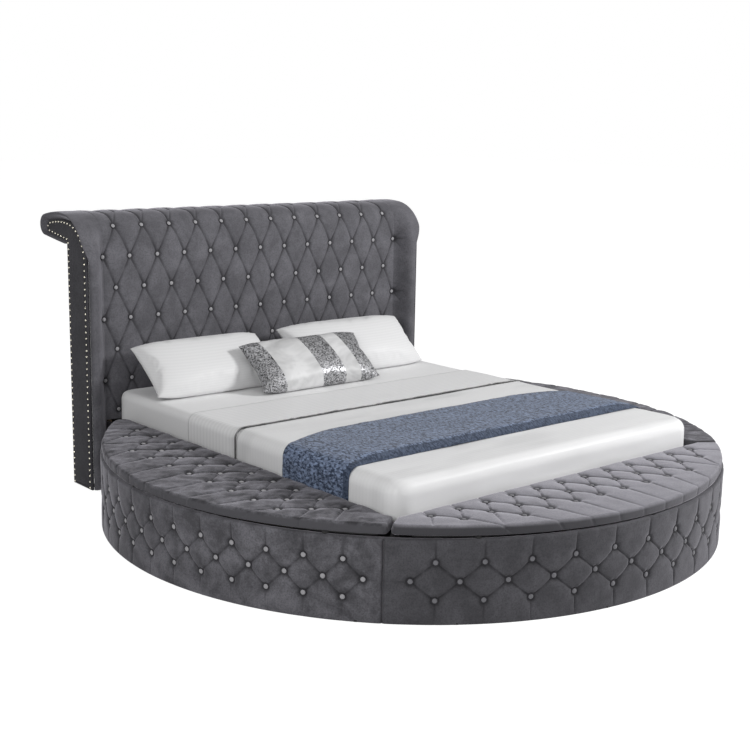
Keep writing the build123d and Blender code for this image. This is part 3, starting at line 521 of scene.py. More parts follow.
def tufted_cover(name, sign, end_angle, seats, pitch, joined_ends, material):
    """Padded face of one base segment, counted from the left mitre joint."""
    inner_radius = base_radius - cover_thickness
    inward = cover_thickness - cover_rim
    moves = [(inward, 0), (cover_rim * quarter, quarter), (cover_top - cover_bottom - cover_rim, 0)]
    line = walk((inner_radius, cover_top), 0, moves)[0]
    profile = resample(line, math.ceil(length_of(line) / fine_step))
    profile = np.concatenate([profile, [(inner_radius, cover_bottom)]])
    normal = left_normals(profile)
    run = sign * (end_angle - joint_angle) * base_radius
    columns = math.ceil(run / fine_step)
    share = np.linspace(0, 1, columns)
    ends = np.full(len(profile), end_angle)
    if not joined_ends:
        ends = np.arccos(-box_half / profile[:, 0]) - 2 * math.pi
    angle = joint_angle + share[None, :] * (ends - joint_angle)[:, None]
    rise = run_along(profile)
    height = cover_top - (rise - inward - cover_rim * (quarter - 1))
    unrolled = unroll(share * run, height)
    rows = sorted(set(np.round(seats[:, 1], 4)))
    folds = neighbour_folds(seats, pitch, rows[1] - rows[0], 0.0078, 0.056)
    for seat in seats:
        if seat[1] > rows[1] + same_row:
            folds.append((seat, (seat[0], cover_top + 0.004), 0.0062, 0.0022, 0.040, False))
        elif seat[1] < rows[1] - same_row:
            folds.append((seat, (seat[0], cover_bottom - 0.004), 0.0045, 0.0008, 0.036, False))
        elif seat[0] < pitch:
            folds.append((seat, (0, seat[1]), 0.0035, 0.001, 0.028, False))
    edges = (0, run) if joined_ends else (0,)
    for edge in edges:
        folds.append(((edge, cover_top), (edge, cover_bottom), 0.010, 0.012, 0.011, False))
    depth = quilt(unrolled, seats, folds)
    face = smooth_step((normal[:, 0] - 0.05) / 0.6)[:, None] * np.ones((1, columns))
    waves = 0.0012 * (ripple(unrolled, 0.11, 3) + 0.6 * ripple(unrolled, 0.045, 4))
    depth = (depth + waves).reshape(face.shape) * face
    reach, z = pushed(profile, normal, -depth)
    points = np.stack([reach * np.cos(angle), reach * np.sin(angle), z], axis=-1)
    faces = grid_faces(len(profile), columns, flip=sign < 0)
    index = np.arange(points.size // 3).reshape(len(profile), columns)
    back = [(index[0, k], index[0, k + 1], index[-1, k + 1], index[-1, k]) for k in range(columns - 1)]
    caps = [tuple(index[:, 0]), tuple(index[::-1, -1])]
    if sign < 0:
        caps = [cap[::-1] for cap in caps]
    else:
        back = [quad[::-1] for quad in back]
    return make_piece(name, points, faces + back + caps, [material], fold=depth / dimple_depth)


# Ways from the middle to the left mitre joint, to a corner of the bed's box and to the covers' head end
joint_angle = math.radians(-136.1)
corner_angle = math.atan2(-0.956, -0.940)
head_angle = math.atan2(math.sqrt(base_radius**2 - box_half**2), -box_half) - 2 * math.pi
base_spots = spots("base_buttons")
spot_angles = np.arctan2(base_spots[:, 1], base_spots[:, 0])
is_foot = (spot_angles > corner_angle) & (spot_angles < -math.pi - corner_angle)
is_left = (base_spots[:, 0] < 0) & ~is_foot
left_turns = (joint_angle - spot_angles[is_left]) % (2 * math.pi)
left_seats = np.column_stack([left_turns * base_radius, base_spots[is_left][:, 2]])
foot_seats = np.column_stack([(spot_angles[is_foot] - joint_angle) * base_radius, base_spots[is_foot][:, 2]])

left_cover = tufted_cover("left_cover_velvet", -1, head_angle, left_seats, left_pitch, False, velvets["side"])
right_cover = mirrored_piece(left_cover, "right_cover_velvet")
foot_cover = tufted_cover(
    "foot_cover_velvet", 1, -math.pi - joint_angle, foot_seats, foot_cover_pitch, True, velvets["foot"]
)
for piece, node in ((left_cover, "left_cover"), (right_cover, "right_cover"), (foot_cover, "foot_cover")):
    stand_in(piece, "velvet", node, fill=base_fill)

outward = np.column_stack([round_points(spot_angles), 0 * spot_angles])
places = outward * (base_radius - dimple_depth) + base_spots * (0, 0, 1)
looks = [ring_cloth, silver_cloth, ring_cloth, grey_cloth]
base_buttons = dome_group(
    "base_button_covers", places, outward, button_profile, looks, material_sets=is_foot.astype(int).tolist()
)
stand_in(base_buttons, "silver_buttons", "base_buttons")


def rounded_end(corner, side):
    """Inset curve along a lid's end from its inner corner and round on to its outer arc.

    The side is 1 where the lid lies on the left of the way outward, and -1 on its right.
    """
    way = lid_end_way
    normal = -side * joint_normal
    inset = lid_end_radius - lid_rim
    run = 0
    for _ in range(40):
        run += inset_radius - inset - np.linalg.norm(corner + way * run + normal * inset)
    middle = corner + way * run + normal * inset
    start = math.atan2(-normal[1], -normal[0])
    turn = (math.atan2(middle[1], middle[0]) - start + math.pi) % (2 * math.pi) - math.pi
    return middle + inset * round_points(start + np.linspace(0, turn, 9))


def arc_between(start, end, radius, count):
    """Points on a circle about the origin, from one angle to another."""
    return radius * round_points(np.linspace(start, end, count))


def coons(low, right, high, left):
    """Grid of plan points between four curves: low and high run one way, left and right the other."""
    u = np.linspace(0, 1, len(low))[None, :, None]
    v = np.linspace(0, 1, len(left))[:, None, None]
    ruled = (1 - v) * low[None] + v * high[None] + (1 - u) * left[:, None] + u * right[:, None]
    corners = (1 - u) * (1 - v) * low[0] + u * (1 - v) * low[-1] + (1 - u) * v * high[0] + u * v * high[-1]
    return ruled - corners


def plate(name, sides, rim, crown, depth_at, materials, open_head=False, cap=False, body="root"):
    """Soft slab: a top between four curves, and a rim that turns down from its edge.

    The curves are foot, right, head and left, each from the foot or the left end.
    """
    foot, right, head, left = sides
    plan = coons(foot, right, head, left)
    rows, columns = plan.shape[:2]
    index = np.arange(rows * columns).reshape(rows, columns)
    edge = np.concatenate([index[::-1, 0], index[0, 1:], index[1:, -1]])
    if not open_head:
        edge = np.concatenate([edge, index[-1, -2:0:-1]])
    flat = plan.reshape(-1, 2)
    loop = flat[edge]
    if open_head:
        way = np.gradient(loop, axis=0)
    else:
        way = np.roll(loop, -1, axis=0) - np.roll(loop, 1, axis=0)
    outward_way = np.column_stack([way[:, 1], -way[:, 0]])
    outward_way = outward_way / np.linalg.norm(outward_way, axis=1)[:, None]
    normal = left_normals(rim)
    run = run_along(rim)
    spread = [flat] + [loop + outward_way * run[j] for j in range(1, len(rim))]
    depth = depth_at(np.concatenate(spread))
    top_depth = depth[: len(flat)]
    points = [np.column_stack([flat, crown(flat) - top_depth])]
    base = crown(loop)
    folded = [top_depth]
    for j in range(1, len(rim)):
        first = len(flat) + (j - 1) * len(loop)
        fade = float(smooth_step((normal[j, 0] + normal[j, 1] + 0.2) / 0.8)) if normal[j, 1] < 0 else 1.0
        sunk = depth[first : first + len(loop)] * fade
        out = rim[j, 0] - sunk * normal[j, 0]
        up = rim[j, 1] - sunk * normal[j, 1]
        points.append(np.column_stack([loop + outward_way * out[:, None], base + up]))
        folded.append(sunk)
    faces = grid_faces(rows, columns)
    previous = edge
    for j in range(1, len(rim)):
        ring = len(flat) + (j - 1) * len(loop) + np.arange(len(loop))
        after = np.roll(np.arange(len(loop)), -1)
        count = len(loop) - 1 if open_head else len(loop)
        for k in range(count):
            faces.append((previous[k], ring[k], ring[after[k]], previous[after[k]]))
        previous = ring
    if cap:
        faces.append(tuple(previous[::-1]))
    fold = np.concatenate(folded) / dimple_depth
    return make_piece(name, np.concatenate(points), faces, materials, fold=fold, body=body)


def lid_crown_height(inner, outer, axis):
    """Height of a lid's crowned top, which is highest near its hinges and level along the lid."""
    ridge = inner + (outer - inner) * 0.2

    def height(points):
        share = (points[:, axis] - ridge) / (outer - ridge)
        return lid_crest + 0.002 - lid_crown * share**2

    return height


lower_rim = 0.003
side_drop = lid_crest - lid_crown - lid_bottom - lid_rim - lower_rim
rim_moves = [(lid_rim * quarter, quarter), (side_drop, 0), (lower_rim * quarter, quarter), (0.016, 0)]
lid_rim_line = walk((0, 0), 0, rim_moves)[0]
lid_rim_points = resample(lid_rim_line, math.ceil(length_of(lid_rim_line) / 0.0038))
inset_radius = lid_radius - lid_rim


def lid_folds(seats, pitch, inner_edge, depth):
    """Folds between a lid's buttons, and pleats from its outer ones over the edge."""
    folds = neighbour_folds(seats, pitch, lid_row_pitch, depth, 0.058)
    first_row = seats[:, 1].min()
    for seat in seats:
        if seat[1] < first_row + same_row:
            folds.append((seat, (seat[0], inner_edge - 0.02), 0.5 * depth, 0.001, 0.036, False))
        across, up = np.abs(seats[:, 0] - seat[0]), seats[:, 1] - seat[1]
        outer = (across < next_column * pitch) & (up > 0.5 * lid_row_pitch)
        if outer.sum() < 2:
            reach = lid_radius + 0.03
            end = seat * reach / np.linalg.norm(seat)
            if outer.sum() == 0:
                end = (seat[0] * 0.9, math.sqrt(reach**2 - (seat[0] * 0.9) ** 2))
            folds.append((seat, end, 0.45 * depth, 0.0008, 0.040, False))
    return folds


joint_corner = np.array((-side_lid_x, foot_lid_y + 0.004))
joint_normal = np.array((lid_end_way[1], -lid_end_way[0]))
joint_inset = lid_end_gap / 2 + lid_rim


def mitre_point(place, offset, across=False):
    """Where a line parallel to the lids' joint meets the inner edge of a lid."""
    start = joint_corner + joint_normal * offset
    axis = 1 if across else 0
    return start + lid_end_way * (place - start[axis]) / lid_end_way[axis]


def end_groove(points):
    """Extra depth that rounds the lids' ends off towards their joint, which the fold attribute also darkens as
    painted shade.
    """
    place = np.column_stack([-np.abs(points[:, 0]), points[:, 1]]) - joint_corner
    return 0.005 * np.clip(1 - np.abs(place @ joint_normal) / 0.014, 0, 1)


def side_lid_piece():
    """Velvet pad of the left lid."""
    inner_x = -side_lid_x - lid_rim
    inner_foot = mitre_point(inner_x, joint_inset)
    bend = rounded_end(inner_foot, -1)
    tip = lid_tip_radius - lid_rim
    tip_middle = np.array((inner_x - tip, math.sqrt((inset_radius - tip) ** 2 - (inner_x - tip) ** 2)))
    tip_end = math.atan2(tip_middle[1], tip_middle[0])
    inner_head = tip_middle + (tip, 0)
    long_count = math.ceil((inner_head[1] - inner_foot[1]) / wide_step)
    short_count = math.ceil(side_lid_width / wide_step)
    foot = resample(np.array((bend[0], inner_foot)), short_count)
    right = resample(np.array((inner_foot, inner_head)), long_count)
    head = tip_middle + tip * round_points(np.linspace(tip_end, 0, short_count))
    outer = arc_between(math.atan2(bend[-1, 1], bend[-1, 0]) % (2 * math.pi), tip_end, inset_radius, arc_count)
    left = resample(np.concatenate([bend, outer[1:]]), long_count)
    found = spots("left_lid_buttons")
    seats = np.column_stack([found[:, 1], -found[:, 0]])
    folds = lid_folds(seats, left_pitch, side_lid_x, 0.0055)
    crown = lid_crown_height(-side_lid_x, -lid_radius, 0)

    def depth_at(points):
        turned = np.column_stack([points[:, 1], -points[:, 0]])
        waves = 0.0026 * ripple(turned, 0.08, 11) + 0.0014 * ripple(turned, 0.028, 12)
        return quilt(turned, seats, folds) + waves + end_groove(points)

    sides, looks = (foot, right, head, left), [velvets["side_lid"]]
    piece = plate("left_lid_velvet", sides, lid_rim_points, crown, depth_at, looks, body="left_lid")
    return piece, found, crown


def foot_lid_piece():
    """Velvet pad of the foot lid."""
    inner_y = foot_lid_y - lid_rim
    left_inner = mitre_point(inner_y, -joint_inset, across=True)
    bend = rounded_end(left_inner, 1)
    count = math.ceil(-2 * left_inner[0] / wide_step)
    short = math.ceil(foot_lid_width / wide_step)
    head = resample(np.array((left_inner, left_inner * (-1, 1))), count)
    left = resample(np.array((bend[0], left_inner)), short)
    right = left * (-1, 1)
    end_angle = math.atan2(bend[-1, 1], bend[-1, 0])
    outer = arc_between(end_angle, -math.pi - end_angle, inset_radius, arc_count)
    foot = resample(np.concatenate([bend, outer[1:-1], bend[::-1] * (-1, 1)]), count)
    found = spots("foot_lid_buttons")
    seats = np.column_stack([found[:, 0], -found[:, 1]])
    folds = lid_folds(seats, foot_lid_pitch, -foot_lid_y, 0.0075)
    crown = lid_crown_height(foot_lid_y, -lid_radius, 1)

    def depth_at(points):
        turned = points * (1, -1)
        return quilt(turned, seats, folds) + 0.001 * ripple(turned, 0.09, 21) + end_groove(points)

    sides, looks = (foot, right, head, left), [velvets["foot_lid"]]
    piece = plate("foot_lid_velvet", sides, lid_rim_points, crown, depth_at, looks, body="foot_lid")
    return piece, found, crown


def lid_button_covers(side, found, crown, cloth):
    """Covered buttons sunk into a lid's tufts."""
    places = np.column_stack([found[:, :2], crown(found[:, :2]) - dimple_depth])
    normals = np.tile((0.0, 0.0, 1.0), (len(places), 1))
    piece = dome_group(f"{side}_lid_button_covers", places, normals, button_profile, [ring_cloth, cloth])
    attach(piece, f"{side}_lid")
    return piece


left_lid, left_found, left_crown = side_lid_piece()
foot_lid, foot_found, foot_crown = foot_lid_piece()
right_lid = mirrored_piece(left_lid, "right_lid_velvet", "right_lid")
left_lid_buttons = lid_button_covers("left", left_found, left_crown, silver_cloth)
foot_lid_buttons = lid_button_covers("foot", foot_found, foot_crown, grey_cloth)
right_lid_buttons = mirrored_piece(left_lid_buttons, "right_lid_button_covers", "right_lid")
for side, pad, studs in (
    ("left", left_lid, left_lid_buttons),
    ("foot", foot_lid, foot_lid_buttons),
    ("right", right_lid, right_lid_buttons),
):
    stand_in(pad, "velvet", f"{side}_lid_pad", fill=lid_fill)
    stand_in(studs, "silver_buttons", f"{side}_lid_buttons")

# Rolled outlines of the headboard, in the YZ plane
roll_middle_y = panel_y + roll_radius
fall = (roll_middle_y - wing_front - rise_radius) / (rise_radius - roll_radius)
roll_turn = math.acos(-fall)
roll_middle_z = wing_start + (rise_radius - roll_radius) * math.sin(roll_turn)
last_rise = rise_turn - roll_turn


def back_run(end, heading, back_y):
    """Length of the straight run from the tip in to the back face."""
    return (back_y - end[0]) / math.cos(heading)


def rolled_outline(parts, start, back_y, counts):
    """Outline in parts, each with a fixed number of points, up the front and over to the back."""
    point, heading = start, quarter
    lines = []
    for moves, count in zip(parts, counts):
        line, heading = walk(point, heading, moves)
        lines.append(resample(line, count)[1 if lines else 0 :])
        point = line[-1]
    last = walk(point, heading, [(back_run(point, heading, back_y), 0)])[0]
    lines.append(resample(last, counts[-1])[1:])
    return np.concatenate(lines)


# Points on the front, the roll, the rise, the top, the tip and the run to the back
counts = (150, 46, 8, 32, 30, 14)
tail_arcs = ((rise_radius, last_rise), (top_radius, top_turn), (tip_radius, tip_turn))
tail = [[(radius * turn, turn)] for radius, turn in tail_arcs]
rise_z = wing_start - board_bottom
straight = [(rise_z, 0)]
inner_roll = [(roll_middle_z - wing_start, 0), (roll_radius * roll_turn, roll_turn)]
outer_roll = [(rise_radius * roll_turn, roll_turn)]
start = (panel_y, board_bottom)
inner_outline = rolled_outline([straight, inner_roll, *tail], start, headboard_back, counts)
start = (wing_front, board_bottom)
outer_outline = rolled_outline([straight, outer_roll, *tail], start, headboard_back, counts)
side_split = side_turns[0] * roll_turn / rise_turn
side_arcs = zip((side_radii[0], *side_radii), (side_split, side_turns[0] - side_split, *side_turns[1:]))
side_parts = [straight] + [[(radius * turn, turn)] for radius, turn in side_arcs]
side_outline = rolled_outline(side_parts, (side_front, board_bottom), headboard_back, counts)

head_spots = spots("headboard_buttons")


def head_run(spot):
    """Distance up the headboard's surface from the pad's lower edge."""
    if spot[2] < roll_middle_z:
        return spot[2] - panel_bottom
    turn = math.atan2(spot[2] - roll_middle_z, roll_middle_y - spot[1])
    return roll_middle_z - panel_bottom + roll_radius * turn


head_seats = np.array([(spot[0], head_run(spot)) for spot in head_spots])
top_run = head_seats[:, 1].max()
corner_x = np.abs(head_seats[:, 0]).max()
head_folds = neighbour_folds(head_seats, head_pitch, head_row_pitch, 0.0075, 0.072)
for seat in head_seats:
    if seat[1] > top_run - same_row:
        head_folds.append((seat, (seat[0], seat[1] + 0.30), 0.007, 0.0035, 0.075, False))
        head_folds.append(((seat[0], seat[1] + 0.30), (seat[0], seat[1] + 0.46), 0.0035, 0.001, 0.075, False))
        if seat[0] < corner_x - 0.1:
            bend = (seat[0] + 0.062, seat[1] + 0.13)
            head_folds.append((seat, bend, 0.0045, 0.0025, 0.04, False))
            head_folds.append((bend, (seat[0] + 0.085, seat[1] + 0.26), 0.0025, 0.0005, 0.04, False))


def headboard_piece():
    """Tufted panel and the roll above it, as one sewn cover."""
    moves = [(roll_middle_z - panel_bottom, 0), (roll_radius * roll_turn, roll_turn)]
    line, heading = walk((panel_y, panel_bottom), quarter, moves + [move for part in tail for move in part])
    corner = walk(line[-1], heading, [(back_run(line[-1], heading, headboard_back), 0)])[0][-1]
    line = np.concatenate([line, [corner, (headboard_back, panel_top)]])
    count = math.ceil(length_of(line) / wide_step)
    profile = resample(line, count)
    normal = left_normals(profile)
    run = np.linspace(0, length_of(line), count)
    half = wing_inner + 0.016
    x = np.linspace(-half, half, math.ceil(2 * half / wide_step))
    unrolled = unroll(x, run)
    depth = quilt(unrolled, head_seats, head_folds)
    scallop = np.clip((unrolled[:, 1] - top_run) / 0.2, 0, 1)
    depth = depth + 0.004 * scallop * (1 - np.abs(np.cos(math.pi * unrolled[:, 0] / head_pitch)) ** 0.7)
    depth = depth + 0.001 * ripple(unrolled, 0.12, 31)
    # The cover runs on under the wings
    depth = depth + 0.016 * smooth_step((np.abs(unrolled[:, 0]) - wing_inner + 0.010) / 0.018)
    depth = depth * (1 - smooth_step((unrolled[:, 1] - run[-1] + 0.12) / 0.1))
    depth = depth.reshape(count, len(x))
    y, z = pushed(profile, normal, -depth)
    points = np.stack([np.tile(x, (count, 1)), y, z], axis=-1)
    faces = grid_faces(count, len(x))
    return make_piece("headboard_velvet", points, faces, [velvets["head"]], fold=depth / dimple_depth)


def wing_piece():
    """Left wing: a bolster from the crease beside the panel round to the side panel."""
    turn_columns, nose_columns = 26, 16
    crease_x, nose_x = wing_inner - 0.018, wing_outer - 0.030
    turn_share = np.linspace(0, 1, turn_columns)
    nose = np.linspace(0, quarter, nose_columns)[1:]
    swollen = np.concatenate([0 * turn_share, np.sin(2 * nose) ** 1.2])
    to_nose, round_nose = (nose_x - crease_x) * turn_share, (wing_outer - nose_x) * np.sin(nose)
    across = np.concatenate([crease_x + to_nose, nose_x + round_nose])
    forward = np.concatenate([np.sin(quarter * turn_share) ** 1.6, 1 + 0 * nose])
    curl = np.concatenate([0 * turn_share, (1 - np.cos(nose)) ** 1.5])
    inner, outer, side = (line[:, None, :] for line in (inner_outline, outer_outline, side_outline))
    flat = inner + (outer - inner) * forward[None, :, None] + (side - outer) * curl[None, :, None]
    tucked = 0.003 * np.clip(1 - turn_share / 0.08, 0, 1)
    tucked = np.concatenate([tucked, 0 * nose])
    # The roll at the top stands out beyond the side panel
    lobe = wing_lobe * smooth_step((outer_outline[:, 1] - wing_start + 0.05) / 0.16)[:, None] * swollen
    points = np.concatenate([(-across[None, :] - lobe)[..., None], flat], axis=-1)
    way_up, way_across = np.gradient(points, axis=0), np.gradient(points, axis=1)
    normal = np.cross(way_up, way_across)
    normal = normal / np.maximum(np.linalg.norm(normal, axis=-1), 1e-9)[..., None]
    normal = normal * np.sign(-(normal[60, 20, 1]))
    rise = run_along(inner_outline) - (panel_bottom - board_bottom)
    unrolled = unroll(run_along(points[60]), rise)
    folds = []
    seats = []
    for seat in head_seats:
        if seat[0] < same_row - corner_x:
            seats.append((0.0, seat[1]))
            folds.append(((0, seat[1]), (0.075, seat[1] + 0.006), 0.010, 0.001, 0.085, False))
            for rise_by in (0.05, -0.05):
                folds.append(((0, seat[1]), (0.045, seat[1] + rise_by), 0.005, 0.001, 0.03, False))
    depth = quilt(unrolled, np.array(seats), folds) + 0.0012 * ripple(unrolled, 0.07, 41)
    depth = depth.reshape(points.shape[:2]) + tucked[None, :]
    keep = np.concatenate([1 + 0 * turn_share, np.cos(nose)])[None, :]
    points = points - normal * (depth * keep)[..., None]
    faces = grid_faces(points.shape[0], points.shape[1], flip=True)
    fold = depth * keep / dimple_depth
    return make_piece("left_wing_velvet", points, faces, [velvets["head"]], fold=fold)


headboard = headboard_piece()
stand_in(headboard, "velvet", "headboard_pad", "headboard_roll", fill=head_fill)
left_wing = wing_piece()
stand_in(left_wing, "velvet", "left_wing", fill=head_fill)
stand_in(mirrored_piece(left_wing, "right_wing_velvet"), "velvet", "right_wing", fill=head_fill)

roll_angles = (head_seats[:, 1] - (roll_middle_z - panel_bottom)) / roll_radius
roll_angles = np.where(head_spots[:, 2] > roll_middle_z, roll_angles, 0)
head_normals = np.column_stack([0 * roll_angles, -np.cos(roll_angles), np.sin(roll_angles)])
on_roll = (0, roll_middle_y, roll_middle_z) + head_normals * (roll_radius - dimple_depth)
on_roll[:, 0] = head_seats[:, 0]
on_panel = np.column_stack([head_seats[:, 0], 0 * roll_angles + panel_y + dimple_depth, head_spots[:, 2]])
head_places = np.where(roll_angles[:, None] > 0, on_roll, on_panel)
looks = [ring_cloth, silver_cloth]
head_buttons = dome_group("headboard_button_covers", head_places, head_normals, button_profile, looks)
stand_in(head_buttons, "silver_buttons", "headboard_buttons")


def side_panel_piece():
    """Left side panel: a covered board with soft edges and a groove along its nails."""
    insets = (
        (0.0, 0.001),
        (0.0, 0.011),
        (0.0015, 0.0145),
        (0.005, 0.0172),
        (0.009, 0.0172),
        (0.013, 0.0152),
        (0.017, 0.0168),
        (0.022, 0.0182),
        (0.027, 0.0186),
    )
    side_counts = (150, 30, 8, 20, 26, 12)
    rings = []
    for inset, out in insets:
        parts = [[(length - inset * turn, turn) for length, turn in part] for part in side_parts]
        parts[0] = [(rise_z - inset, 0)]
        start = (side_front + inset, board_bottom + inset)
        line = rolled_outline(parts, start, headboard_back - inset, side_counts)
        foot = np.array((headboard_back - inset, board_bottom + inset))
        back = resample(np.array((line[-1], foot)), 120)[1:]
        line = np.concatenate([line, back])
        rings.append(np.column_stack([np.full(len(line), -wing_outer - out), line]))
    points = np.array(rings)
    count = points.shape[1]
    index = np.arange(points.size // 3).reshape(len(insets), count)
    faces = []
    for row in range(len(insets) - 1):
        for k in range(count):
            after = (k + 1) % count
            faces.append((index[row, k], index[row, after], index[row + 1, after], index[row + 1, k]))
    faces.append(tuple(index[-1]))
    faces.append(tuple(index[0, ::-1]))
    # Painted shade in the groove along the nails, through the fold attribute.
    groove_shade = np.array([np.clip(1 - abs(inset - 0.013) / 0.008, 0, 1) for inset, _ in insets])
    fold = np.repeat(groove_shade * 0.8, count)
    return make_piece("left_side_panel_velvet", points, faces, [velvets["board"]], fold=fold)


left_panel = side_panel_piece()
stand_in(left_panel, "velvet", "left_side_panel")
stand_in(mirrored_piece(left_panel, "right_side_panel_velvet"), "velvet", "right_side_panel")

nail_spots = spots("nailheads", 0.013)
nail_sides = np.sign(nail_spots[:, 0])
nail_normals = np.column_stack([nail_sides, 0 * nail_sides, 0 * nail_sides])
nail_places = nail_spots.copy()
nail_places[:, 0] = nail_sides * (board_outer - 0.0028)
nail_profile = ((0.0058, 0.0), (0.0056, 0.0014), (0.0046, 0.0030), (0.0030, 0.0041), (0.0012, 0.0046))
looks = [nail_metal, nail_metal]
nails = dome_group("nailhead_domes", nail_places, nail_normals, nail_profile, looks, sides=14, split=0)
stand_in(nails, "nickel_nails", "nailheads")


# Bedding
def block_sides(grow, y_head, edge, closed):
    """Four curves round the mattress top, inside its rounded edge."""
    half = mattress_high.x + grow - edge
    low = mattress_low.y - grow + edge
    inner_corner = mattress_corner + grow - edge
    high = mattress_high.y + grow - edge if closed else y_head
    turns = np.linspace(0, quarter / 2, 8)
    bend = inner_corner * np.column_stack([np.sin(turns), 1 - np.cos(turns)])
    foot_half = bend + (half - inner_corner, low)
    foot = np.concatenate([foot_half[::-1] * (-1, 1), foot_half])
    side_low = np.array([(half - y, low + inner_corner - x) for x, y in bend])[::-1]
    if closed:
        side_high = np.array([(half - y, high - inner_corner + x) for x, y in bend])
        head = np.array([(half - inner_corner + x, high - y) for x, y in bend])
        right = np.concatenate([side_low, side_high])
        head = np.concatenate([head[::-1] * (-1, 1), head])
    else:
        right = np.concatenate([side_low, [(half, high)]])
        head = np.array([(-half, high), (half, high)])
    across = math.ceil(2 * half / bedding_step)
    along = math.ceil((high - low) / bedding_step)
    foot, head = resample(foot, across), resample(head, across)
    right = resample(right, along)
    return foot, right, head, right * (-1, 1)


def level(height):
    return lambda points: np.full(len(points), height)


def mattress_piece():
    """Mattress in a fitted sheet, drawn a little at its edges."""
    sides = block_sides(0, 0, mattress_edge, True)
    drop = mattress_high.z - mattress_low.z - 2 * mattress_edge
    turn = (mattress_edge * quarter, quarter)
    rim = resample(walk((0, 0), 0, [turn, (drop, 0), turn, (0.01, 0)])[0], 40)

    def depth_at(points):
        return 0.0014 + 0.0014 * ripple(points * (1, 0.5), 0.16, 51)

    return plate("fitted_sheet", sides, rim, level(mattress_high.z), depth_at, [sheet_cotton], cap=True)


def duvet_piece():
    """Duvet over the foot two thirds, tucked down beside the mattress."""
    grow = duvet_high.x - mattress_high.x - 0.001
    edge = mattress_edge + grow + 0.012
    sides = block_sides(grow, duvet_high.y, edge, False)
    moves = [(edge * quarter, quarter), (mattress_high.z + grow - edge - duvet_low.z, 0)]
    line = walk((0, 0), 0, moves)[0]
    rim = resample(line, 34)

    def depth_at(points):
        top = 0.0016 * ripple(points * (0.3, 1), 0.09, 61) + 0.0007 * ripple(points * (0.3, 1), 0.035, 62)
        beyond = np.clip((np.abs(points[:, 0]) - mattress_high.x + 0.03) / 0.1, 0, 1)
        return top + 0.0022 * beyond * ripple(points * (0.3, 1), 0.09, 63)

    top = level(mattress_high.z + grow)
    piece = plate("duvet_cover", sides, rim, top, depth_at, [duvet_cotton], open_head=True)
    cut_width = 2 * (mattress_high.x + grow - edge + length_of(line))
    cut_length = duvet_high.y - (mattress_low.y - grow + edge) + length_of(line)
    return piece, cut_width, cut_length, length_of(line)


def strip_piece(name, place, step, lift, depth_at, material, band, narrowing=0):
    """Cloth laid across the bed, hanging down on both sides, with its length.

    Its place is how far it stands off the mattress, its two ends along the bed and its lowest height.
    The band is how wide its edge strip with painted shade is, and narrowing is how much the hanging sides draw
    in.
    """
    grow, y_from, y_to, bottom = place
    edge = mattress_edge + grow
    half = mattress_high.x + grow - edge
    drop = mattress_high.z + grow - edge - bottom
    moves = [(drop, 0), (edge * quarter, quarter), (2 * half, 0), (edge * quarter, quarter), (drop, 0)]
    line = walk((-mattress_high.x - grow, bottom), quarter, moves)[0]
    profile = resample(line, math.ceil(length_of(line) / step))
    normal = left_normals(profile)
    run = np.linspace(-length_of(line) / 2, length_of(line) / 2, len(profile))
    y = np.linspace(y_from + step, y_to, math.ceil((y_to - y_from) / step))
    y = np.concatenate([y_from + band * np.array((0, 0.9, 1.1)), y[y > y_from + 1.2 * band]])
    across, along = np.meshgrid(run, y, indexing="ij")
    tight = smooth_step((np.abs(across) - mattress_high.x + 0.36) / 0.40)
    along = y_from + (along - y_from) * (1 - narrowing * tight)
    spread = np.column_stack([across.ravel(), along.ravel()])
    out = lift(across, along) - depth_at(spread).reshape(across.shape)
    x, z = pushed(profile, normal, out)
    points = np.stack([x, along, z], axis=-1)
    # The edge band goes into the fold attribute, where the materials paint shade along the edge.
    edge_shadow_band = np.broadcast_to(y < y_from + band, along.shape)
    piece = make_piece(name, points, grid_faces(*along.shape, flip=True), [material], fold=edge_shadow_band)
    return piece, length_of(line)


def thicken(piece, thickness):
    """Cloth thickness, added below the shaped face."""
    solid = piece.modifiers.new("thickness", "SOLIDIFY")
    solid.thickness = thickness
    solid.offset = -1


mattress = mattress_piece()
stand_in(mattress, "mattress_ticking", "mattress", fill=mattress_fill)

duvet, duvet_width, duvet_length, duvet_drop = duvet_piece()
thicken(duvet, 0.006)
stand_in(duvet, "white_bedding", "duvet")


def coverlet_lift(across, along):
    """The coverlet rises over its piped edge at the foot side."""
    near = np.clip(1 - (along - coverlet_low.y) / 0.06, 0, 1)
    return 0.012 * near * near


def coverlet_depth(points):
    near = np.exp(-(points[:, 1] - coverlet_low.y) / 0.07)
    puckers = ripple(points * (1, 0.25) + 0.25 * points[:, 1:] * (1, 0), 0.020, 71)
    return 0.0026 * near * puckers + 0.0016 * ripple(points, 0.12, 72)


coverlet_grow = coverlet_high.x - mattress_high.x
place = (coverlet_grow, coverlet_low.y + 0.003, coverlet_high.y, coverlet_low.z)
coverlet, coverlet_width = strip_piece(
    "coverlet_cloth", place, 0.009, coverlet_lift, coverlet_depth, coverlet_cotton, 0.0026
)
thicken(coverlet, 0.004)
stand_in(coverlet, "white_bedding", "coverlet")

throw_slope = 0.052
throw_rise = 0.026


def throw_lift(across, along):
    """The folded throw is fullest before its foot edge, where it rolls down to the duvet."""
    from_foot = along - throw_low.y
    full = np.sin(quarter * np.clip(from_foot / throw_slope, 0, 1))
    taper = 1 - 0.75 * np.clip((from_foot - throw_slope) / (throw_high.y - throw_low.y - throw_slope), 0, 1)
    hanging = smooth_step((np.abs(across) - mattress_high.x + 0.16) / 0.16)
    return throw_rise * full * taper * (1 - 0.80 * hanging) - 0.002


def throw_depth(points):
    return 0.0012 * ripple(points * (1, 0.5), 0.06, 81) + 0.0006 * ripple(points, 0.015, 82)


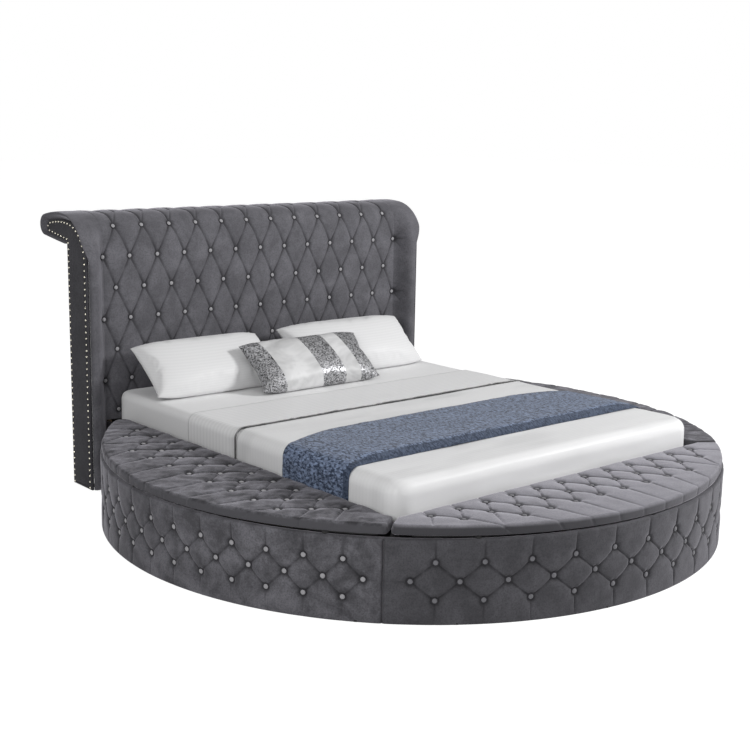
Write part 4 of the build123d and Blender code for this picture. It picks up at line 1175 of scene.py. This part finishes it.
place = (throw_high.x - mattress_high.x, throw_low.y, throw_high.y, throw_low.z)
throw, throw_length = strip_piece(
    "throw_cloth", place, 0.008, throw_lift, throw_depth, throw_wool, 0.036, narrowing=0.17
)
thicken(throw, 0.004)
stand_in(throw, "blue_throw", "throw")


def cushion_mesh(name, size, draw, step, material):
    """Closed pillow form about the origin, lying flat, with drawn-in sides and drooping, thin corners."""
    length, width, thickness = size
    tuck, ear = 0.12, 0.5
    columns, rows = math.ceil(length / step), math.ceil(width / step)
    p, q = np.meshgrid(np.linspace(-1, 1, columns), np.linspace(-1, 1, rows))
    x = length / 2 * p * (1 - draw * (1 - q**2) * np.abs(p) ** 3)
    y = width / 2 * q * (1 - tuck * np.abs(p) ** 6)
    full = np.clip((1 - np.abs(p) ** 3.2) * (1 - np.abs(q) ** 2.6), 0, 1) ** 0.62
    pinch = 1 - ear * (np.abs(p) * np.abs(q)) ** 4
    z = thickness / 2 * full * pinch
    top = np.stack([x, y, z], axis=-1).reshape(-1, 3)
    index = np.arange(rows * columns).reshape(rows, columns)
    border = np.zeros((rows, columns), bool)
    border[0, :] = border[-1, :] = border[:, 0] = border[:, -1] = True
    below = np.full(rows * columns, -1)
    inside = np.flatnonzero(~border.ravel())
    below[inside] = rows * columns + np.arange(len(inside))
    below[border.ravel()] = index.ravel()[border.ravel()]
    points = np.concatenate([top, top[inside] * (1, 1, -1)])
    upper = np.array(grid_faces(rows, columns))
    lower = below[upper][:, ::-1]
    return make_piece(name, points, upper.tolist() + lower.tolist(), [material])


swell_frames = 20


def swell(piece, cap, growth, seed):
    """Swell a closed soft mesh with a short cloth simulation, no point moving further than the cap."""
    mesh = piece.data
    start = points_of(mesh)
    uneven = 0.0015 * ripple(start[:, :2], 0.03, seed)
    set_points(mesh, start + np.outer(uneven, (0, 0, 1)))
    cloth = piece.modifiers.new("swell", "CLOTH")
    settings = {"quality": 5, "mass": 0.3, "tension_stiffness": 15, "compression_stiffness": 15}
    settings.update(shear_stiffness=6, bending_stiffness=0.25, shrink_min=-growth)
    settings.update(use_pressure=True, uniform_pressure_force=4)
    for key, value in settings.items():
        setattr(cloth.settings, key, value)
    cloth.settings.effector_weights.gravity = 0
    cloth.collision_settings.use_collision = False
    cloth.point_cache.frame_start, cloth.point_cache.frame_end = 1, swell_frames
    for number in range(1, swell_frames + 1):
        scene.frame_set(number)
    move = points_of(piece.evaluated_get(bpy.context.evaluated_depsgraph_get()).data) - start
    size = np.maximum(np.linalg.norm(move, axis=1), 1e-9)[:, None]
    piece.modifiers.remove(cloth)
    scene.frame_set(1)
    set_points(mesh, start + move * cap * np.tanh(size / cap) / size)


def lean(piece, node, tilt, low, shift):
    """Turn a cushion back by its tilt and settle it in the space of its CAD solid, above the mattress."""
    x, y, z = points_of(piece.data).T
    cosine, sine = math.cos(tilt), math.sin(tilt)
    turned = np.column_stack([x, y * cosine - z * sine, y * sine + z * cosine])
    space_low, space_high = (np.array(corner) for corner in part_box(node))
    turned += (space_low + space_high) / 2 - (turned.min(0) + turned.max(0)) / 2
    turned[:, :2] += shift
    turned[:, 2] += space_low[2] - turned[:, 2].min()
    # The lower edge is pressed flat where it lies on the mattress
    rest = space_low[2] + 0.0005
    sunk = turned[:, 2] - low
    turned[:, 2] = np.maximum(sunk, rest + 0.10 * (sunk - rest))
    set_points(piece.data, turned)


for side, length, shift, tilt, seed in (("left", 0.770, -0.065, 38, 91), ("right", 0.860, -0.030, 42, 92)):
    pillow = cushion_mesh(f"{side}_pillow_case", (length, 0.390, 0.150), 0.020, 0.0085, pillow_cotton)
    swell(pillow, 0.013, 0.03, seed)
    lean(pillow, f"{side}_pillow", math.radians(tilt), 0.010, (shift, -0.01))
    stand_in(pillow, "white_bedding", f"{side}_pillow", fill=cushion_fill)


def banded_cushion(name, low, high):
    """White satin with bands of silver sequins across the cushion's length."""
    look = Look(name, white, 0.45, {"Sheen Weight": 0.15})
    parts = look.node("ShaderNodeSeparateXYZ", {"Vector": look.place()})
    # The seams bow aside towards their upper ends
    rise = look.remap(parts.outputs["Z"], low.z, high.z)
    across = look.reckon("MULTIPLY_ADD", look.reckon("MULTIPLY", rise, rise), 0.045, parts.outputs["X"])
    share = look.remap(across, low.x - 0.085, high.x - 0.085)
    bands = look.node("ShaderNodeValToRGB", {"Fac": share})
    bands.color_ramp.interpolation = "CONSTANT"
    stops = ((0.0, 1), (0.23, 0), (0.56, 1), (0.77, 0), (0.92, 1))
    while len(bands.color_ramp.elements) < len(stops):
        bands.color_ramp.elements.new(0.5)
    for element, (place, value) in zip(bands.color_ramp.elements, stops):
        element.position = place
        element.color = (value, value, value, 1)
    band = bands.outputs["Color"]
    discs = look.node("ShaderNodeTexVoronoi", {"Scale": 170.0, "Randomness": 0.8, "Vector": look.place()})
    spread = look.node("ShaderNodeSeparateColor", {"Color": discs.outputs["Color"]})
    glint = look.remap(spread.outputs["Red"], 0, 1)
    sequin = look.blend(glint, (0.04, 0.04, 0.042), (0.62, 0.62, 0.64))
    satin = look.noise(look.place((0.5, 1, 1)), 9, 3, 0.6, 0.6)
    cloth = look.blend(look.remap(satin, 0.35, 0.65), shade(white, 0.55), shade(white, 0.86))
    look.lead("Base Color", look.blend(band, cloth, sequin))
    look.lead("Roughness", look.remap(band, 0, 1, 0.5, 0.48))
    look.lead("Metallic", look.remap(band, 0, 1, 0, 0.75))
    look.bump(look.reckon("MULTIPLY", spread.outputs["Green"], band), 0.8, 0.002)
    return look.material


cushion_low, cushion_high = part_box("accent_cushion")
cushion_look = banded_cushion("sequin_bands", cushion_low, cushion_high)
accent = cushion_mesh("accent_cushion_case", (0.740, 0.345, 0.120), 0.030, 0.006, cushion_look)
swell(accent, 0.012, 0.05, 93)
lean(accent, "accent_cushion", math.radians(42), 0.006, (-0.03, 0.02))
stand_in(accent, "cushion_cloth", "accent_cushion", fill=cushion_fill)

# Finishes of the frame's own pieces
plywood = wood("birch_plywood", (0.62, 0.47, 0.31), (1, 1, 8))
# Painted shade: the walls and boards are made nearly black so the gaps between the lids and the base read
# dark.
shade_painted_plywood = wood("plywood_painted_shade", (0.022, 0.021, 0.023), (1, 1, 8))
timber = wood("pine", (0.66, 0.50, 0.33), (1, 6, 6))
lining = plain_cloth("backing_cloth", (0.030, 0.030, 0.033), 500, 0.9)
steel = metal("zinc_steel", (0.55, 0.55, 0.56), 0.35)
grey_paint = plain_cloth("painted_steel", (0.060, 0.059, 0.066), 300, 0.7)
felt = plain_cloth("felt", (0.02, 0.02, 0.02), 300, 0.95)
glide_plastic = plain_cloth("glide_plastic", (0.02, 0.02, 0.02), 200, 0.5, 0)
node_looks = (
    (("_wall", "end_board", "lid_board"), shade_painted_plywood),
    (("floor_panel", "divider"), plywood),
    (("posts", "rails", "slats", "beam", "legs", "cleats"), timber),
    (("back_panel",), lining),
    (("hinge",), grey_paint),
    (("bracket", "bolts"), steel),
    (("bumpers",), felt),
    (("glides",), glide_plastic),
)
for name, node in nodes.items():
    for words, look in node_looks:
        if any(word in name for word in words):
            node.data.materials.clear()
            node.data.materials.append(look)

# Camera at the photograph's place
camera_place = (-4.034, -4.398, 1.865)
camera_azimuth = math.radians(-40.85)
camera_elevation = math.radians(11.45)
camera_roll = math.radians(1.04)
level_back = np.array((math.sin(camera_azimuth), -math.cos(camera_azimuth), 0))
back = level_back * math.cos(camera_elevation) + (0, 0, math.sin(camera_elevation))
level_right = np.array((math.cos(camera_azimuth), math.sin(camera_azimuth), 0))
level_up = np.cross(back, level_right)
right_way = level_right * math.cos(camera_roll) + level_up * math.sin(camera_roll)
up_way = level_up * math.cos(camera_roll) - level_right * math.sin(camera_roll)
camera = add_object("camera", bpy.data.cameras.new("camera"))
camera.data.lens = 61.41
camera.data.sensor_width = 36
pose = np.eye(4)
pose[:3, 0], pose[:3, 1], pose[:3, 2], pose[:3, 3] = right_way, up_way, back, camera_place
camera.matrix_world = Matrix(pose.tolist())
scene.camera = camera


def stage_look(name, colour, glow, kept_shadow):
    """Pale studio ground: white to the camera, but still holding the object's shadow."""
    look = Look(name, colour, 0.9, {"Specular IOR Level": 0.0})
    path = look.node("ShaderNodeLightPath").outputs
    seen = path["Is Camera Ray"]
    for ray in ("Is Glossy Ray", "Is Transmission Ray"):
        either = look.node("ShaderNodeMath", {0: seen, 1: path[ray]}, operation="ADD", use_clamp=True)
        seen = either.outputs[0]
    share = look.reckon("MULTIPLY", seen, 1 - kept_shadow)
    white_glow = look.node("ShaderNodeEmission", {"Color": (1, 1, 1, 1), "Strength": glow})
    mixer = look.node("ShaderNodeMixShader", {0: share, 1: look.shader.outputs[0], 2: white_glow.outputs[0]})
    look.feed(look.tree.nodes["Material Output"].inputs["Surface"], mixer.outputs[0])
    return look.material


floor_half = 40
floor_mesh = bpy.data.meshes.new("floor")
corners = [(x * floor_half, y * floor_half, 0) for x, y in ((-1, -1), (1, -1), (1, 1), (-1, 1))]
floor_mesh.from_pydata(corners, [], [(0, 1, 2, 3)])
floor_mesh.materials.append(stage_look("floor_paper", (0.85, 0.85, 0.85), 1.23, 0.22))
add_object("floor", floor_mesh)

world = bpy.data.worlds.new("studio")
scene.world = world
world.use_nodes = True
tree = world.node_tree
sky, bright = tree.nodes["Background"], tree.nodes.new("ShaderNodeBackground")
for background, strength in ((sky, 0.24), (bright, 1.0)):
    background.inputs["Color"].default_value = (1, 1, 1, 1)
    background.inputs["Strength"].default_value = strength
ray, sky_mix = tree.nodes.new("ShaderNodeLightPath"), tree.nodes.new("ShaderNodeMixShader")
tree.links.new(ray.outputs["Is Camera Ray"], sky_mix.inputs[0])
tree.links.new(sky.outputs[0], sky_mix.inputs[1])
tree.links.new(bright.outputs[0], sky_mix.inputs[2])
tree.links.new(sky_mix.outputs[0], tree.nodes["World Output"].inputs["Surface"])


def lamp(name, place, target, size, power):
    """Soft square lamp that faces a point."""
    light = bpy.data.lights.new(name, "AREA")
    light.size = size
    light.energy = power
    holder = add_object(name, light)
    holder.location = place
    way = np.array(target, float) - np.array(place, float)
    flat = math.hypot(way[0], way[1])
    holder.rotation_euler = (math.atan2(flat, -way[2]), 0, math.atan2(way[1], way[0]) - quarter)


lamp("key_lamp", (4.4, -4.0, 3.7), (0, 0.4, 0.6), 1.4, 350)
lamp("fill_lamp", (-5.0, -3.0, 2.6), (0, 0, 0.4), 2.0, 125)
lamp("top_lamp", (-0.5, 0.8, 5.2), (0, 0.4, 0.4), 3.0, 30)

scene.view_settings.view_transform = "Standard"
